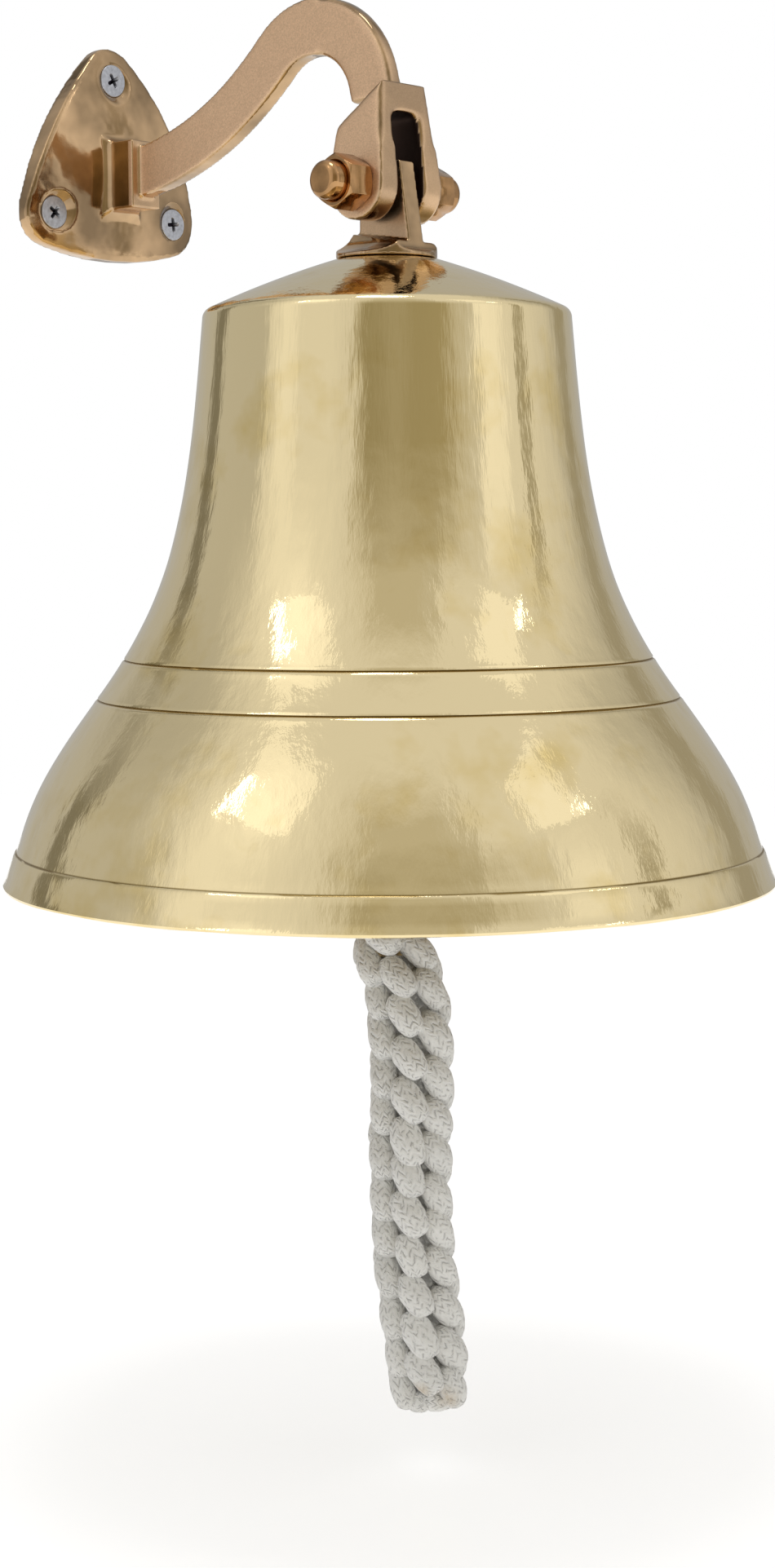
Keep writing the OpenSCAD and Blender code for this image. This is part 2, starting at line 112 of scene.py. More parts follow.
ROOM_HIGH = [(-180, 0.47, 0), (-149, 0.47, 0), (-144, 0.2, 0.4), (-135, 0.2, 0.4), (-131, 0.48, 0), (-112, 0.48, 0),
             (-98, 0.52, 0), (-86, 0.68, 0), (-74, 0.84, 0), (-60, 0.96, 0), (-50, 1.05, 0), (-40, 0.88, 0),
             (-27, 0.78, 0), (-13, 0.66, 0.2), (-8, 0.56, 0.4), (18, 0.56, 0.4), (28, 0.60, 0.2), (32, 0.78, 0),
             (60, 0.77, 0), (92, 0.76, 0), (104, 0.66, 0), (114, 0.54, 0), (128, 0.46, 0), (134, 0.32, 0.4),
             (142, 0.32, 0.4), (146, 0.47, 0), (180, 0.47, 0)]


def srgb(code):
    """Turns an sRGB hex colour into linear values, with an alpha of 1."""
    values = [int(code[i:i + 2], 16) / 255 for i in (1, 3, 5)]
    return [v / 12.92 if v <= 0.04045 else ((v + 0.055) / 1.055) ** 2.4 for v in values] + [1.0]


def colour_property(name, description, code):
    return FloatVectorProperty(name=name, description=description, subtype="COLOR", size=4,
                               min=0, max=1, default=srgb(code))


def length_property(name, description, default):
    return FloatProperty(name=name, description=description, default=default,
                         min=0, unit="LENGTH", subtype="DISTANCE")


class BellSizes(bpy.types.PropertyGroup):
    """Sizes of the bell, which follow the frame"""
    mouth_d: length_property("Mouth", "Outside diameter of the mouth", BELL_HIGH.y - BELL_LOW.y)
    shoulder_d: length_property("Shoulder", "Outside diameter of the shoulder", 84 * MM)
    shoulder_h: length_property("Shoulder height", "Height of the shoulder above the mouth", 131 * MM)
    crown_h: length_property("Crown height", "Height of the crown above the mouth",
                             BELL_HIGH.z - BELL_LOW.z)
    wall: length_property("Wall", "Thickness of the side wall", 4 * MM)
    bow_extra: length_property("Sound bow", "Extra thickness of the sound bow", 3 * MM)
    crown_wall: length_property("Crown wall", "Thickness of the crown", 5 * MM)
    lip_band_h: length_property("Lip band", "Height of the raised band round the lip", 8 * MM)
    lip_band_step: length_property("Lip step", "How far the lip band stands out", 0.5 * MM)
    lower_ring_h: length_property("Lower ring", "Height of the lower engraved ring", 42.5 * MM)
    ring_gap: length_property("Ring gap", "Distance from the lower ring to the upper one", 9 * MM)
    ring_depth: length_property("Ring depth", "Depth of an engraved ring", 0.4 * MM)
    segments: IntProperty(name="Segments", description="Steps of the spin round the bell",
                          default=224, min=48, max=384)


class CastingSizes(bpy.types.PropertyGroup):
    """How softly the castings' corners are rounded"""
    bracket_grain: length_property("Bracket grain", "Size of the bracket's smallest facets", 0.5 * MM)
    small_grain: length_property("Small part grain", "Size of the small castings' smallest facets",
                                 0.32 * MM)
    softening: IntProperty(name="Softening", description="Passes that round the castings' corners",
                           default=5, min=0, max=30)
    fork_softening: IntProperty(name="Fork softening", description="Further passes round the top of the fork",
                                default=50, min=0, max=90)


class FastenerSizes(bpy.types.PropertyGroup):
    """Sizes of the screws, the stud and the nuts"""
    screw_head_d: length_property("Screw head", "Diameter of a screw's head", 7.8 * MM)
    screw_thread_d: length_property("Screw thread", "Diameter of a screw's thread", 4.2 * MM)
    screw_pitch: length_property("Screw pitch", "Advance of the screw's thread in one turn", 1.5 * MM)
    pivot_nut_af: length_property("Pivot nut", "Size of a pivot nut across its flats", 10.8 * MM)
    crown_nut_af: length_property("Crown nut", "Size of the crown nut across its flats", 16 * MM)
    stud_bevel: length_property("Stud bevel", "Bevel at each end of the pivot stud", 1 * MM)


class RopeSizes(bpy.types.PropertyGroup):
    """Sizes of the bell rope"""
    diameter: length_property("Diameter", "Diameter of the plaited rope", 20.6 * MM)
    crown_pitch: length_property("Crown pitch", "Distance from one crown of the plait to the next",
                                 9.3 * MM)
    cord_d: length_property("Cord", "Diameter of the cord that is plaited", 7.3 * MM)
    stitch: length_property("Stitch", "Length of one stitch of that cord", 1.5 * MM)
    tilt: FloatProperty(name="Tilt", description="Slope of each crown across the rope",
                        default=math.radians(27), subtype="ANGLE")


class Finishes(bpy.types.PropertyGroup):
    """Colours of the metals, the rope and the stage"""
    brass: colour_property("Brass", "Polished yellow brass of the bell", "#F2DFB0")
    tarnished_brass: colour_property("Tarnished brass", "Deeper yellow where the polish has dulled", "#E6CE90")
    bronze: colour_property("Bronze", "Polished gunmetal of the bracket", "#D9B68C")
    satin_bronze: colour_property("Satin bronze", "Belt-ground sides of the bracket", "#E2BF9C")
    turned_bronze: colour_property("Turned bronze", "Stud and nuts", "#C39768")
    plain_brass: colour_property("Plain brass", "Machined clapper parts", "#D9C083")
    zinc: colour_property("Zinc", "Zinc plate of the screws", "#C3C5CC")
    cotton: colour_property("Cotton", "Bleached cotton of the rope", "#ECEBE7")
    twine: colour_property("Twine", "Waxed whipping twine", "#B89F70")
    floor: colour_property("Floor", "Acrylic light table", "#F3F3F3")


GROUPS = (("bell_sizes", BellSizes), ("casting_sizes", CastingSizes),
          ("fastener_sizes", FastenerSizes), ("rope_sizes", RopeSizes), ("finishes", Finishes))


# ---------------------------------------------------------------- nodes and materials

def add_node(tree, kind, links=None, **settings):
    """Adds a node, sets its properties, and fills its inputs with values or other nodes' outputs."""
    node = tree.nodes.new(kind)
    for key, value in settings.items():
        setattr(node, key, value)
    for key, value in (links or {}).items():
        if isinstance(value, bpy.types.NodeSocket):
            tree.links.new(value, node.inputs[key])
        else:
            node.inputs[key].default_value = value
    return node


def ramp_node(tree, source, stops):
    """Adds a colour ramp whose stops are pairs of place and colour."""
    node = add_node(tree, "ShaderNodeValToRGB", {"Fac": source})
    ramp = node.color_ramp
    while len(ramp.elements) < len(stops):
        ramp.elements.new(0.5)
    for element, (place, colour) in zip(ramp.elements, stops):
        element.position = place
        element.color = colour
    return node


def grey(value):
    return (value, value, value, 1)


def blank_material(name):
    """Makes an empty material and returns it with its node tree and its shader."""
    made = bpy.data.materials.new(name)
    made.use_nodes = True
    tree = made.node_tree
    tree.nodes.clear()
    shader = add_node(tree, "ShaderNodeBsdfPrincipled")
    add_node(tree, "ShaderNodeOutputMaterial", {"Surface": shader.outputs["BSDF"]})
    return made, tree, shader


def wire(tree, shader, **outputs):
    for key, value in outputs.items():
        tree.links.new(value, shader.inputs[key.replace("_", " ")])


def shade(colour, factor):
    return [min(1, c * factor) for c in colour[:3]] + [1]


def mix_colours(tree, factor, a, b):
    node = add_node(tree, "ShaderNodeMix", data_type="RGBA", clamp_factor=True)
    for key, value in (("Factor_Float", factor), ("A_Color", a), ("B_Color", b)):
        socket = next(s for s in node.inputs if s.identifier == key)
        if isinstance(value, bpy.types.NodeSocket):
            tree.links.new(value, socket)
        else:
            socket.default_value = value
    return next(s for s in node.outputs if s.identifier == "Result_Color")


def math_node(tree, operation, a, b=0.0, clamp=False):
    return add_node(tree, "ShaderNodeMath", {0: a, 1: b}, operation=operation, use_clamp=clamp).outputs[0]


def noise(tree, vector, size, detail=3.0, roughness=0.5):
    """Noise whose features are about size metres across."""
    return add_node(tree, "ShaderNodeTexNoise",
                    {"Vector": vector, "Scale": 1 / size, "Detail": detail, "Roughness": roughness}).outputs["Fac"]


def polished_brass_material(finishes):
    """Cast cartridge brass, buffed to a mirror on a mop. The eye sees wavy reflections where the mop pressed, faint
    upright streaks on the waist, and a slightly deeper yellow in places. The engraved rings and the line above the lip
    band are painted dark, as painted shade."""
    made, tree, shader = blank_material("Brass_cast_and_buffed")
    place = add_node(tree, "ShaderNodeTexCoord").outputs["Object"]
    tone = noise(tree, place, 26 * MM, 4, 0.6)
    base = ramp_node(tree, tone, [(0.28, finishes.tarnished_brass), (0.46, finishes.brass)])
    streaks = add_node(tree, "ShaderNodeMapping", {"Vector": place, "Scale": (1, 1, 0.09)}).outputs["Vector"]
    smear = noise(tree, streaks, 3.4 * MM, 4, 0.62)
    groove = add_node(tree, "ShaderNodeAttribute", attribute_name="groove").outputs["Fac"]
    fine = noise(tree, place, 1.2 * MM, 2)
    inside = add_node(tree, "ShaderNodeAttribute", attribute_name="inside").outputs["Fac"]
    dull_and_groove_shade = mix_colours(tree, inside, base.outputs["Color"], shade(finishes.brass, 0.62))
    # Painted shade: the engraved rings and the line just above the lip band are darkened to a dark brown.
    dull_and_groove_shade = mix_colours(tree, groove, dull_and_groove_shade, srgb("#8F7743"))
    gloss = ramp_node(tree, smear, [(0.35, grey(0.03)), (0.75, grey(0.1))]).outputs["Color"]
    rough = mix_colours(tree, math_node(tree, "ADD", inside, groove, clamp=True), gloss, grey(0.38))
    wave = noise(tree, place, 13 * MM, 2)
    bump_a = add_node(tree, "ShaderNodeBump", {"Height": wave, "Strength": 0.8, "Distance": 0.35 * MM})
    bump_b = add_node(tree, "ShaderNodeBump", {"Height": smear, "Strength": 1.0, "Distance": 0.1 * MM,
                                               "Normal": bump_a.outputs["Normal"]})
    bump_c = add_node(tree, "ShaderNodeBump", {"Height": fine, "Strength": 0.3, "Distance": 0.02 * MM,
                                               "Normal": bump_b.outputs["Normal"]})
    wire(tree, shader, Base_Color=dull_and_groove_shade, Roughness=rough, Normal=bump_c.outputs["Normal"])
    shader.inputs["Metallic"].default_value = 1.0
    return made


def cast_bronze_material(finishes):
    """Sand-cast gunmetal. Faces that the mop reached are bright and wavy, and the flat sides keep the
    even, fine grain of the grinding belt, which the satin attribute marks."""
    made, tree, shader = blank_material("Gunmetal_sand_cast_and_linished")
    place = add_node(tree, "ShaderNodeTexCoord").outputs["Object"]
    satin = add_node(tree, "ShaderNodeAttribute", attribute_name="satin").outputs["Fac"]
    tone = noise(tree, place, 14 * MM, 3)
    bright = ramp_node(tree, tone, [(0.36, shade(finishes.bronze, 0.42)), (0.52, shade(finishes.bronze, 0.72)),
                                    (0.68, finishes.bronze)]).outputs["Color"]
    grain = noise(tree, place, 0.35 * MM, 4, 0.65)
    ground = ramp_node(tree, grain, [(0.3, shade(finishes.satin_bronze, 0.8)),
                                     (0.7, shade(finishes.satin_bronze, 1.1))]).outputs["Color"]
    # The satin attribute is also half on the fork's front, which lightens that face as a painted highlight as well as
    # roughening it.
    base = mix_colours(tree, satin, bright, ground)
    rough_cast_and_shade = add_node(tree, "ShaderNodeAttribute", attribute_name="rough_cast_and_shade").outputs["Fac"]
    # Painted shade: inside the pivot slot the bronze is painted near-black, and it is also left rough as cast there.
    base = mix_colours(tree, rough_cast_and_shade, base, srgb("#3A2C26"))
    polish = ramp_node(tree, noise(tree, place, 6 * MM, 3), [(0.3, grey(0.06)), (0.75, grey(0.18))]).outputs["Color"]
    rough = mix_colours(tree, math_node(tree, "ADD", satin, rough_cast_and_shade, clamp=True), polish, grey(0.5))
    wave = add_node(tree, "ShaderNodeBump", {"Height": noise(tree, place, 7 * MM, 2), "Strength": 0.4,
                                             "Distance": 0.4 * MM})
    grit_depth = math_node(tree, "MULTIPLY", grain, math_node(tree, "ADD", satin, 0.15))
    grit = add_node(tree, "ShaderNodeBump", {"Height": grit_depth, "Strength": 0.35, "Distance": 0.08 * MM,
                                             "Normal": wave.outputs["Normal"]})
    wire(tree, shader, Base_Color=base, Roughness=rough, Normal=grit.outputs["Normal"])
    shader.inputs["Metallic"].default_value = 1.0
    return made


def turned_material(name, colour, roughness, groove, axis):
    """Bar stock turned in a lathe. The eye sees hair-fine rings round the piece's axis and small
    brighter and darker patches where fingers have been."""
    made, tree, shader = blank_material(name)
    place = add_node(tree, "ShaderNodeTexCoord").outputs["Object"]
    tone = noise(tree, place, 5 * MM, 3)
    base = ramp_node(tree, tone, [(0.35, shade(colour, 0.6)), (0.65, colour)]).outputs["Color"]
    squash = [0.02, 0.02, 0.02]
    squash[axis] = 1
    rings = noise(tree, add_node(tree, "ShaderNodeMapping", {"Vector": place, "Scale": squash}).outputs["Vector"],
                  groove, 2)
    rough = ramp_node(tree, tone, [(0.3, grey(roughness * 1.5)), (0.7, grey(roughness))]).outputs["Color"]
    bump = add_node(tree, "ShaderNodeBump", {"Height": rings, "Strength": 0.35, "Distance": 0.05 * MM})
    wire(tree, shader, Base_Color=base, Roughness=rough, Normal=bump.outputs["Normal"])
    shader.inputs["Metallic"].default_value = 1.0
    return made


def zinc_material(finishes):
    """Steel screw with a zinc plate. The eye sees a cool, faintly mottled grey with a soft sheen,
    and a black recess where no light reaches."""
    made, tree, shader = blank_material("Zinc_plated_steel")
    place = add_node(tree, "ShaderNodeTexCoord").outputs["Object"]
    spangle = noise(tree, place, 0.9 * MM, 4, 0.6)
    recess = add_node(tree, "ShaderNodeAttribute", attribute_name="recess").outputs["Fac"]
    plate = ramp_node(tree, spangle, [(0.3, shade(finishes.zinc, 0.75)), (0.7, shade(finishes.zinc, 1.1))])
    # Painted shade: the cross recess is painted near-black.
    base = mix_colours(tree, recess, plate.outputs["Color"], srgb("#2B2630"))
    rough = ramp_node(tree, spangle, [(0.3, grey(0.5)), (0.7, grey(0.34))]).outputs["Color"]
    bump = add_node(tree, "ShaderNodeBump", {"Height": spangle, "Strength": 0.2, "Distance": 0.05 * MM})
    wire(tree, shader, Base_Color=base, Roughness=rough, Normal=bump.outputs["Normal"])
    shader.inputs["Metallic"].default_value = 1.0
    return made


def cotton_material(finishes, stitch):
    """Bleached cotton, braided into a soft cord. The eye sees slanting stitches that meet in
    chevrons, small shadows between them, loose fluff, and a little dirt near the rope's end."""
    made, tree, shader = blank_material("Cotton_braided_cord")
    weave = add_node(tree, "ShaderNodeUVMap", uv_map="weave").outputs["UV"]
    place = add_node(tree, "ShaderNodeTexCoord").outputs["Object"]
    wander = add_node(tree, "ShaderNodeTexNoise", {"Vector": place, "Scale": 1 / (3 * MM), "Detail": 3.0}).outputs["Color"]
    wander = add_node(tree, "ShaderNodeVectorMath", {0: wander, "Scale": 2.4 * MM}, operation="SCALE").outputs["Vector"]
    pulled = add_node(tree, "ShaderNodeVectorMath", {0: weave, 1: wander}, operation="ADD").outputs["Vector"]
    across = add_node(tree, "ShaderNodeSeparateXYZ", {"Vector": pulled})
    lean = math_node(tree, "PINGPONG", across.outputs["X"], 1.4 * MM)
    phase = math_node(tree, "MULTIPLY", math_node(tree, "ADD", across.outputs["Y"], lean), math.pi / stitch)
    yarn = math_node(tree, "POWER", math_node(tree, "ABSOLUTE", math_node(tree, "SINE", phase)), 0.6)
    fluff = noise(tree, place, 0.5 * MM, 4, 0.7)
    blotch = noise(tree, place, 4 * MM, 3)
    tone = add_node(tree, "ShaderNodeAttribute", attribute_name="tone").outputs["Fac"]
    stain = add_node(tree, "ShaderNodeAttribute", attribute_name="stain").outputs["Fac"]
    loose = ramp_node(tree, noise(tree, place, 1.1 * MM, 2), [(0.4, grey(0)), (0.56, grey(0.85))]).outputs["Color"]
    closed = math_node(tree, "MAXIMUM", yarn, loose)
    # Painted shade: the gaps between the stitches are darkened to under half the cotton's brightness.
    gap = ramp_node(tree, closed, [(0.0, shade(finishes.cotton, 0.45)), (0.5, shade(finishes.cotton, 0.93)),
                                   (1.0, finishes.cotton)]).outputs["Color"]
    worn = mix_colours(tree, math_node(tree, "MULTIPLY", blotch, 0.28), gap, shade(finishes.cotton, 0.72))
    # Each crown's tone varies at random. The core's tone is 1, which paints the core darker as painted shade between
    # the crowns.
    shaded = mix_colours(tree, math_node(tree, "MULTIPLY", tone, 0.3), worn, shade(finishes.cotton, 0.75))
    dirt = math_node(tree, "MULTIPLY", stain, math_node(tree, "MULTIPLY", blotch, fluff), clamp=True)
    base = mix_colours(tree, dirt, shaded, srgb("#A8894F"))
    stitches = add_node(tree, "ShaderNodeBump", {"Height": closed, "Strength": 0.9, "Distance": 0.35 * MM})
    fibres = add_node(tree, "ShaderNodeBump", {"Height": fluff, "Strength": 0.5, "Distance": 0.2 * MM,
                                               "Normal": stitches.outputs["Normal"]})
    wire(tree, shader, Base_Color=base, Normal=fibres.outputs["Normal"])
    shader.inputs["Roughness"].default_value = 0.92
    shader.inputs["Sheen Weight"].default_value = 0.25
    shader.inputs["Sheen Roughness"].default_value = 0.6
    shader.inputs["Specular IOR Level"].default_value = 0.15
    return made


def twine_material(finishes):
    """Flax twine, waxed and laid in turns. The eye sees brown threads that twist round each turn."""
    made, tree, shader = blank_material("Flax_twine_waxed")
    place = add_node(tree, "ShaderNodeTexCoord").outputs["Object"]
    twist = add_node(tree, "ShaderNodeTexWave", {"Vector": place, "Scale": 1 / (1.1 * MM) / 6, "Distortion": 1.5,
                                                 "Detail": 1.0}, bands_direction="DIAGONAL")
    base = ramp_node(tree, twist.outputs["Fac"], [(0.2, shade(finishes.twine, 0.55)), (0.8, finishes.twine)])
    bump = add_node(tree, "ShaderNodeBump", {"Height": twist.outputs["Fac"], "Strength": 0.6, "Distance": 0.15 * MM})
    wire(tree, shader, Base_Color=base.outputs["Color"], Normal=bump.outputs["Normal"])
    shader.inputs["Roughness"].default_value = 0.6
    return made


def floor_material(finishes):
    """White acrylic light table, lit from below. The eye sees an even white with the faintest mottle."""
    made, tree, shader = blank_material("Acrylic_light_table")
    place = add_node(tree, "ShaderNodeTexCoord").outputs["Object"]
    mottle = noise(tree, place, 60 * MM, 2)
    base = ramp_node(tree, mottle, [(0.3, shade(finishes.floor, 0.985)), (0.7, finishes.floor)])
    wire(tree, shader, Base_Color=base.outputs["Color"])
    shader.inputs["Roughness"].default_value = 0.3
    shader.inputs["Specular IOR Level"].default_value = 0.35
    shader.inputs["Emission Color"].default_value = grey(1.0)
    shader.inputs["Emission Strength"].default_value = 0.46
    return made


# ---------------------------------------------------------------- modelling helpers

def deselect():
    if bpy.context.object and bpy.context.object.mode != "OBJECT":
        bpy.ops.object.mode_set(mode="OBJECT")
    bpy.ops.object.select_all(action="DESELECT")


def edit(piece):
    """Makes piece the only selected object, in edit mode with all of its vertices selected."""
    deselect()
    bpy.context.view_layer.objects.active = piece
    piece.select_set(True)
    bpy.ops.object.mode_set(mode="EDIT")
    bpy.ops.mesh.select_mode(type="VERT")
    bpy.ops.mesh.select_all(action="SELECT")


def leave_edit():
    bpy.ops.object.mode_set(mode="OBJECT")


def choose(piece, kind, test):
    """Selects in edit mode the vertices, edges or faces that pass the test, and nothing else."""
    mesh = bmesh.from_edit_mesh(piece.data)
    bpy.ops.mesh.select_mode(type=kind)
    bpy.ops.mesh.select_all(action="DESELECT")
    mesh = bmesh.from_edit_mesh(piece.data)
    for part in {"VERT": mesh.verts, "EDGE": mesh.edges, "FACE": mesh.faces}[kind]:
        if test(part):
            part.select_set(True)
    mesh.select_flush_mode()
    bmesh.update_edit_mesh(piece.data)


def apply_modifier(piece, kind, **settings):
    deselect()
    bpy.context.view_layer.objects.active = piece
    piece.select_set(True)
    modifier = piece.modifiers.new(kind.title(), kind)
    for key, value in settings.items():
        setattr(modifier, key, value)
    bpy.ops.object.modifier_apply(modifier=modifier.name)


def turn_to(piece, direction, at):
    """Lays the piece's Z axis along direction, moves its origin to at, and fixes both in its mesh."""
    turn = Vector((0, 0, 1)).rotation_difference(Vector(direction)).to_matrix().to_4x4()
    piece.matrix_world = Matrix.Translation(at) @ turn
    deselect()
    bpy.context.view_layer.objects.active = piece
    piece.select_set(True)
    bpy.ops.object.transform_apply(location=True, rotation=True, scale=True)


def smooth_by_angle(piece, angle=30):
    deselect()
    bpy.context.view_layer.objects.active = piece
    piece.select_set(True)
    bpy.ops.object.shade_smooth_by_angle(angle=math.radians(angle))


def lathe(name, outline, steps, closed=False):
    """Spins an outline of (radius, height) points about Z. A closed outline joins its two ends."""
    deselect()
    bpy.ops.mesh.primitive_plane_add(size=MM, location=(0, 0, 0))
    piece = bpy.context.object
    piece.name = piece.data.name = name
    edit(piece)
    bpy.ops.mesh.merge(type="CENTER")
    at = Vector((outline[0][0], 0, outline[0][1]))
    bpy.ops.transform.translate(value=at)
    for radius, height in list(outline[1:]) + ([outline[0]] if closed else []):
        to = Vector((radius, 0, height))
        bpy.ops.mesh.extrude_vertices_move(TRANSFORM_OT_translate={"value": to - at})
        at = to
    bpy.ops.mesh.select_all(action="SELECT")
    if closed:
        bpy.ops.mesh.remove_doubles(threshold=1e-7)
        bpy.ops.mesh.select_all(action="SELECT")
    bpy.ops.mesh.spin(steps=steps, angle=2 * math.pi, center=(0, 0, 0), axis=(0, 0, 1))
    bpy.ops.mesh.select_all(action="SELECT")
    bpy.ops.mesh.remove_doubles(threshold=1e-6)
    bpy.ops.mesh.normals_make_consistent(inside=False)
    leave_edit()
    return piece


def round_corners(outline, radii, steps=3):
    """Rounds the corners of an open outline. radii maps a corner's place in the list to its radius."""
    made = []
    for i, point in enumerate(outline):
        radius = radii.get(i, 0)
        if not radius or i in (0, len(outline) - 1):
            made.append(point)
            continue
        here = Vector(point)
        before, after = Vector(outline[i - 1]) - here, Vector(outline[i + 1]) - here
        reach = min(radius, before.length * 0.45, after.length * 0.45)
        a, b = here + before.normalized() * reach, here + after.normalized() * reach
        for step in range(steps + 1):
            t = step / steps
            made.append(tuple(a * (1 - t) ** 2 + here * 2 * t * (1 - t) + b * t ** 2))
    return made


def casting(node, name, grain, softening):
    """Takes the frame's shape for a node and softens its corners, as moulding and polishing do."""
    source = frame["nodes"][node]
    piece = source.copy()
    piece.data = source.data.copy()
    piece.name = piece.data.name = name
    bpy.context.scene.collection.objects.link(piece)
    piece.parent = None
    for key in list(piece.keys()):
        del piece[key]
    piece.data.materials.clear()
    edit(piece)
    bpy.ops.mesh.remove_doubles(threshold=1e-6)
    bpy.ops.mesh.normals_make_consistent(inside=False)
    leave_edit()
    apply_modifier(piece, "REMESH", mode="VOXEL", voxel_size=grain, use_smooth_shade=True)
    apply_modifier(piece, "SMOOTH", factor=0.5, iterations=softening)
    return piece


def point_attribute(piece, name, value_of):
    attribute = piece.data.attributes.new(name, "FLOAT", "POINT")
    attribute.data.foreach_set("value", [value_of(v) for v in piece.data.vertices])


def finish_piece(piece, node, material):
    """Gives the piece its material and slot, and lets it stand for its node on that node's body."""
    piece.data.materials.clear()
    piece.data.materials.append(material)
    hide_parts(node)
    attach(piece, BODY_OF[node])


def hermite(a, b, t):
    width = b[0] - a[0]
    u = (t - a[0]) / width
    return (a[1] * (1 + 2 * u) * (1 - u) ** 2 + b[1] * u * u * (3 - 2 * u)
            + width * (a[2] * u * (1 - u) ** 2 - b[2] * u * u * (1 - u)))


def growth(t):
    for low, high in zip(FLARE, FLARE[1:]):
        if t <= high[0] or high is FLARE[-1]:
            return hermite(low, high, t)


# ---------------------------------------------------------------- the bell

def wall_radius(sizes, h):
    shoulder_r, mouth_r = sizes.shoulder_d / 2, sizes.mouth_d / 2 - sizes.lip_band_step
    return shoulder_r + (mouth_r - shoulder_r) * growth(h / (sizes.shoulder_h - 2.5 * MM))


def wall_thickness(sizes, h):
    near_bow = max(0, 1 - ((h - 15 * MM) / (24 * MM)) ** 2)
    return sizes.wall + sizes.bow_extra * near_bow ** 2


def bell_outline(sizes):
    """Outline of the bell's wall from the bottom of the lip, up the outside, and down the inside."""
    band, step, edge = sizes.lip_band_h, sizes.lip_band_step, 2.5 * MM
    shoulder_r = sizes.shoulder_d / 2
    foot_r, bore = 11 * MM, 5.05 * MM
    top = wall_radius(sizes, 0) + step
    outline = [(top - 1.2 * MM, 0), (top - 0.6 * MM, 0.05 * MM), (top - 0.2 * MM, 0.25 * MM), (top - 0.05 * MM, 0.7 * MM)]
    outline += [(wall_radius(sizes, h * MM) + step, h * MM) for h in (1.6, 3, 4.5, 6, 7.2)]
    outline += [(wall_radius(sizes, band) + step * 0.9, band - 0.25 * MM),
                (wall_radius(sizes, band) + step * 0.55, band),
                (wall_radius(sizes, band) + 0.02 * MM, band + 0.12 * MM),
                (wall_radius(sizes, band) - 0.06 * MM, band + 0.4 * MM)]
    rings = [sizes.lower_ring_h, sizes.lower_ring_h + sizes.ring_gap]
    groove = [(-1.0, 0), (-0.55, 0.1), (-0.28, -0.12), (-0.1, -1), (0.1, -1), (0.28, -0.12), (0.55, 0.1), (1.0, 0)]
    heights = [band + 1.2 * MM + i * (sizes.shoulder_h - edge - band - 1.2 * MM) / 84 for i in range(85)]
    heights = [(h, 0) for h in heights if all(abs(h - r) > 1.3 * MM for r in rings)]
    heights += [(r + g * MM, d * sizes.ring_depth) for r in rings for g, d in groove]
    outline += [(wall_radius(sizes, h) + d, h) for h, d in sorted(heights)]
    corner = (shoulder_r - edge, sizes.shoulder_h - edge)
    outline += [(corner[0] + edge * math.cos(a), corner[1] + edge * math.sin(a))
                for a in (math.radians(9.3 * i) for i in range(1, 8))]
    edge_r, edge_h = outline[-1]

    def crown(r):
        s = (r - foot_r) / (edge_r - foot_r)
        return sizes.crown_h - (sizes.crown_h - edge_h) * s * (0.8 + 0.2 * s)
    outline += [(foot_r + (edge_r - foot_r) * i / 18, crown(foot_r + (edge_r - foot_r) * i / 18))
                for i in range(17, -1, -1)]
    outline += [(bore, sizes.crown_h), (bore, sizes.crown_h - sizes.crown_wall)]
    ceiling = sizes.shoulder_h - sizes.crown_wall - 2 * MM
    ceiling_r = wall_radius(sizes, ceiling) - wall_thickness(sizes, ceiling)
    outline += [(foot_r + (ceiling_r - 1.5 * MM - foot_r) * i / 8,
                 crown(foot_r + (ceiling_r - 1.5 * MM - foot_r) * i / 8) - sizes.crown_wall) for i in range(9)]
    outline += [(wall_radius(sizes, h) - wall_thickness(sizes, h), h)
                for h in (ceiling * i / 44 for i in range(44, 0, -1))]
    inner = wall_radius(sizes, 0) - wall_thickness(sizes, 0)
    return outline + [(inner, 0.7 * MM), (inner + 0.15 * MM, 0.2 * MM), (inner + 0.6 * MM, 0)]


class BellOperator(bpy.types.Operator):
    """Spins the bell from its outline, and gives it the waves of hand polishing"""
    bl_idname = "ships_bell.bell"
    bl_label = "Bell"

    def execute(self, context):
        sizes, finishes = context.scene.bell_sizes, context.scene.finishes
        piece = lathe("bell_buffed", bell_outline(sizes), sizes.segments, closed=True)
        group = piece.vertex_groups.new(name="flare")
        for v in piece.data.vertices:
            height = v.co.z
            weight = max(0, min(1, (sizes.shoulder_h * 0.62 - height) / (30 * MM)))
            group.add([v.index], 0.25 + 0.75 * weight if height < sizes.shoulder_h else 0.15, "REPLACE")
        for size, depth in ((26 * MM, 0.34 * MM), (11 * MM, 0.1 * MM)):
            ripple = bpy.data.textures.new("polishing_waves", "CLOUDS")
            ripple.noise_scale = size
            ripple.noise_depth = 1
            apply_modifier(piece, "DISPLACE", texture=ripple, texture_coords="LOCAL", strength=depth,
                           mid_level=0.5, vertex_group="flare")
        piece.vertex_groups.clear()
        turn_to(piece, (0, 0, 1), MOUTH)
        axis = Vector((AXIS_X, 0, 0))

        def inner(v):
            outward = (v.co - axis) * Vector((1, 1, 0))
            below_crown = v.co.z < MOUTH.z + sizes.shoulder_h - 1 * MM
            return 1.0 if below_crown and v.normal.dot(outward) < -0.1 * outward.length else 0.0
        point_attribute(piece, "inside", inner)
        lines = [(sizes.lower_ring_h, 0.15 * MM), (sizes.lower_ring_h + sizes.ring_gap, 0.15 * MM),
                 (sizes.lip_band_h + 0.12 * MM, 0.1 * MM)]

        def groove(v):
            """Painted shade: marks a dark line in the engraved rings and just above the lip band."""
            outside = (v.co - axis).xy.length > wall_radius(sizes, v.co.z - MOUTH.z) - 2 * MM
            return 1.0 if outside and any(abs(v.co.z - MOUTH.z - h) < reach for h, reach in lines) else 0.0
        point_attribute(piece, "groove", groove)
        smooth_by_angle(piece, 40)
        finish_piece(piece, "bell_shell", polished_brass_material(finishes))
        return {"FINISHED"}


# ---------------------------------------------------------------- the bracket and the hanger

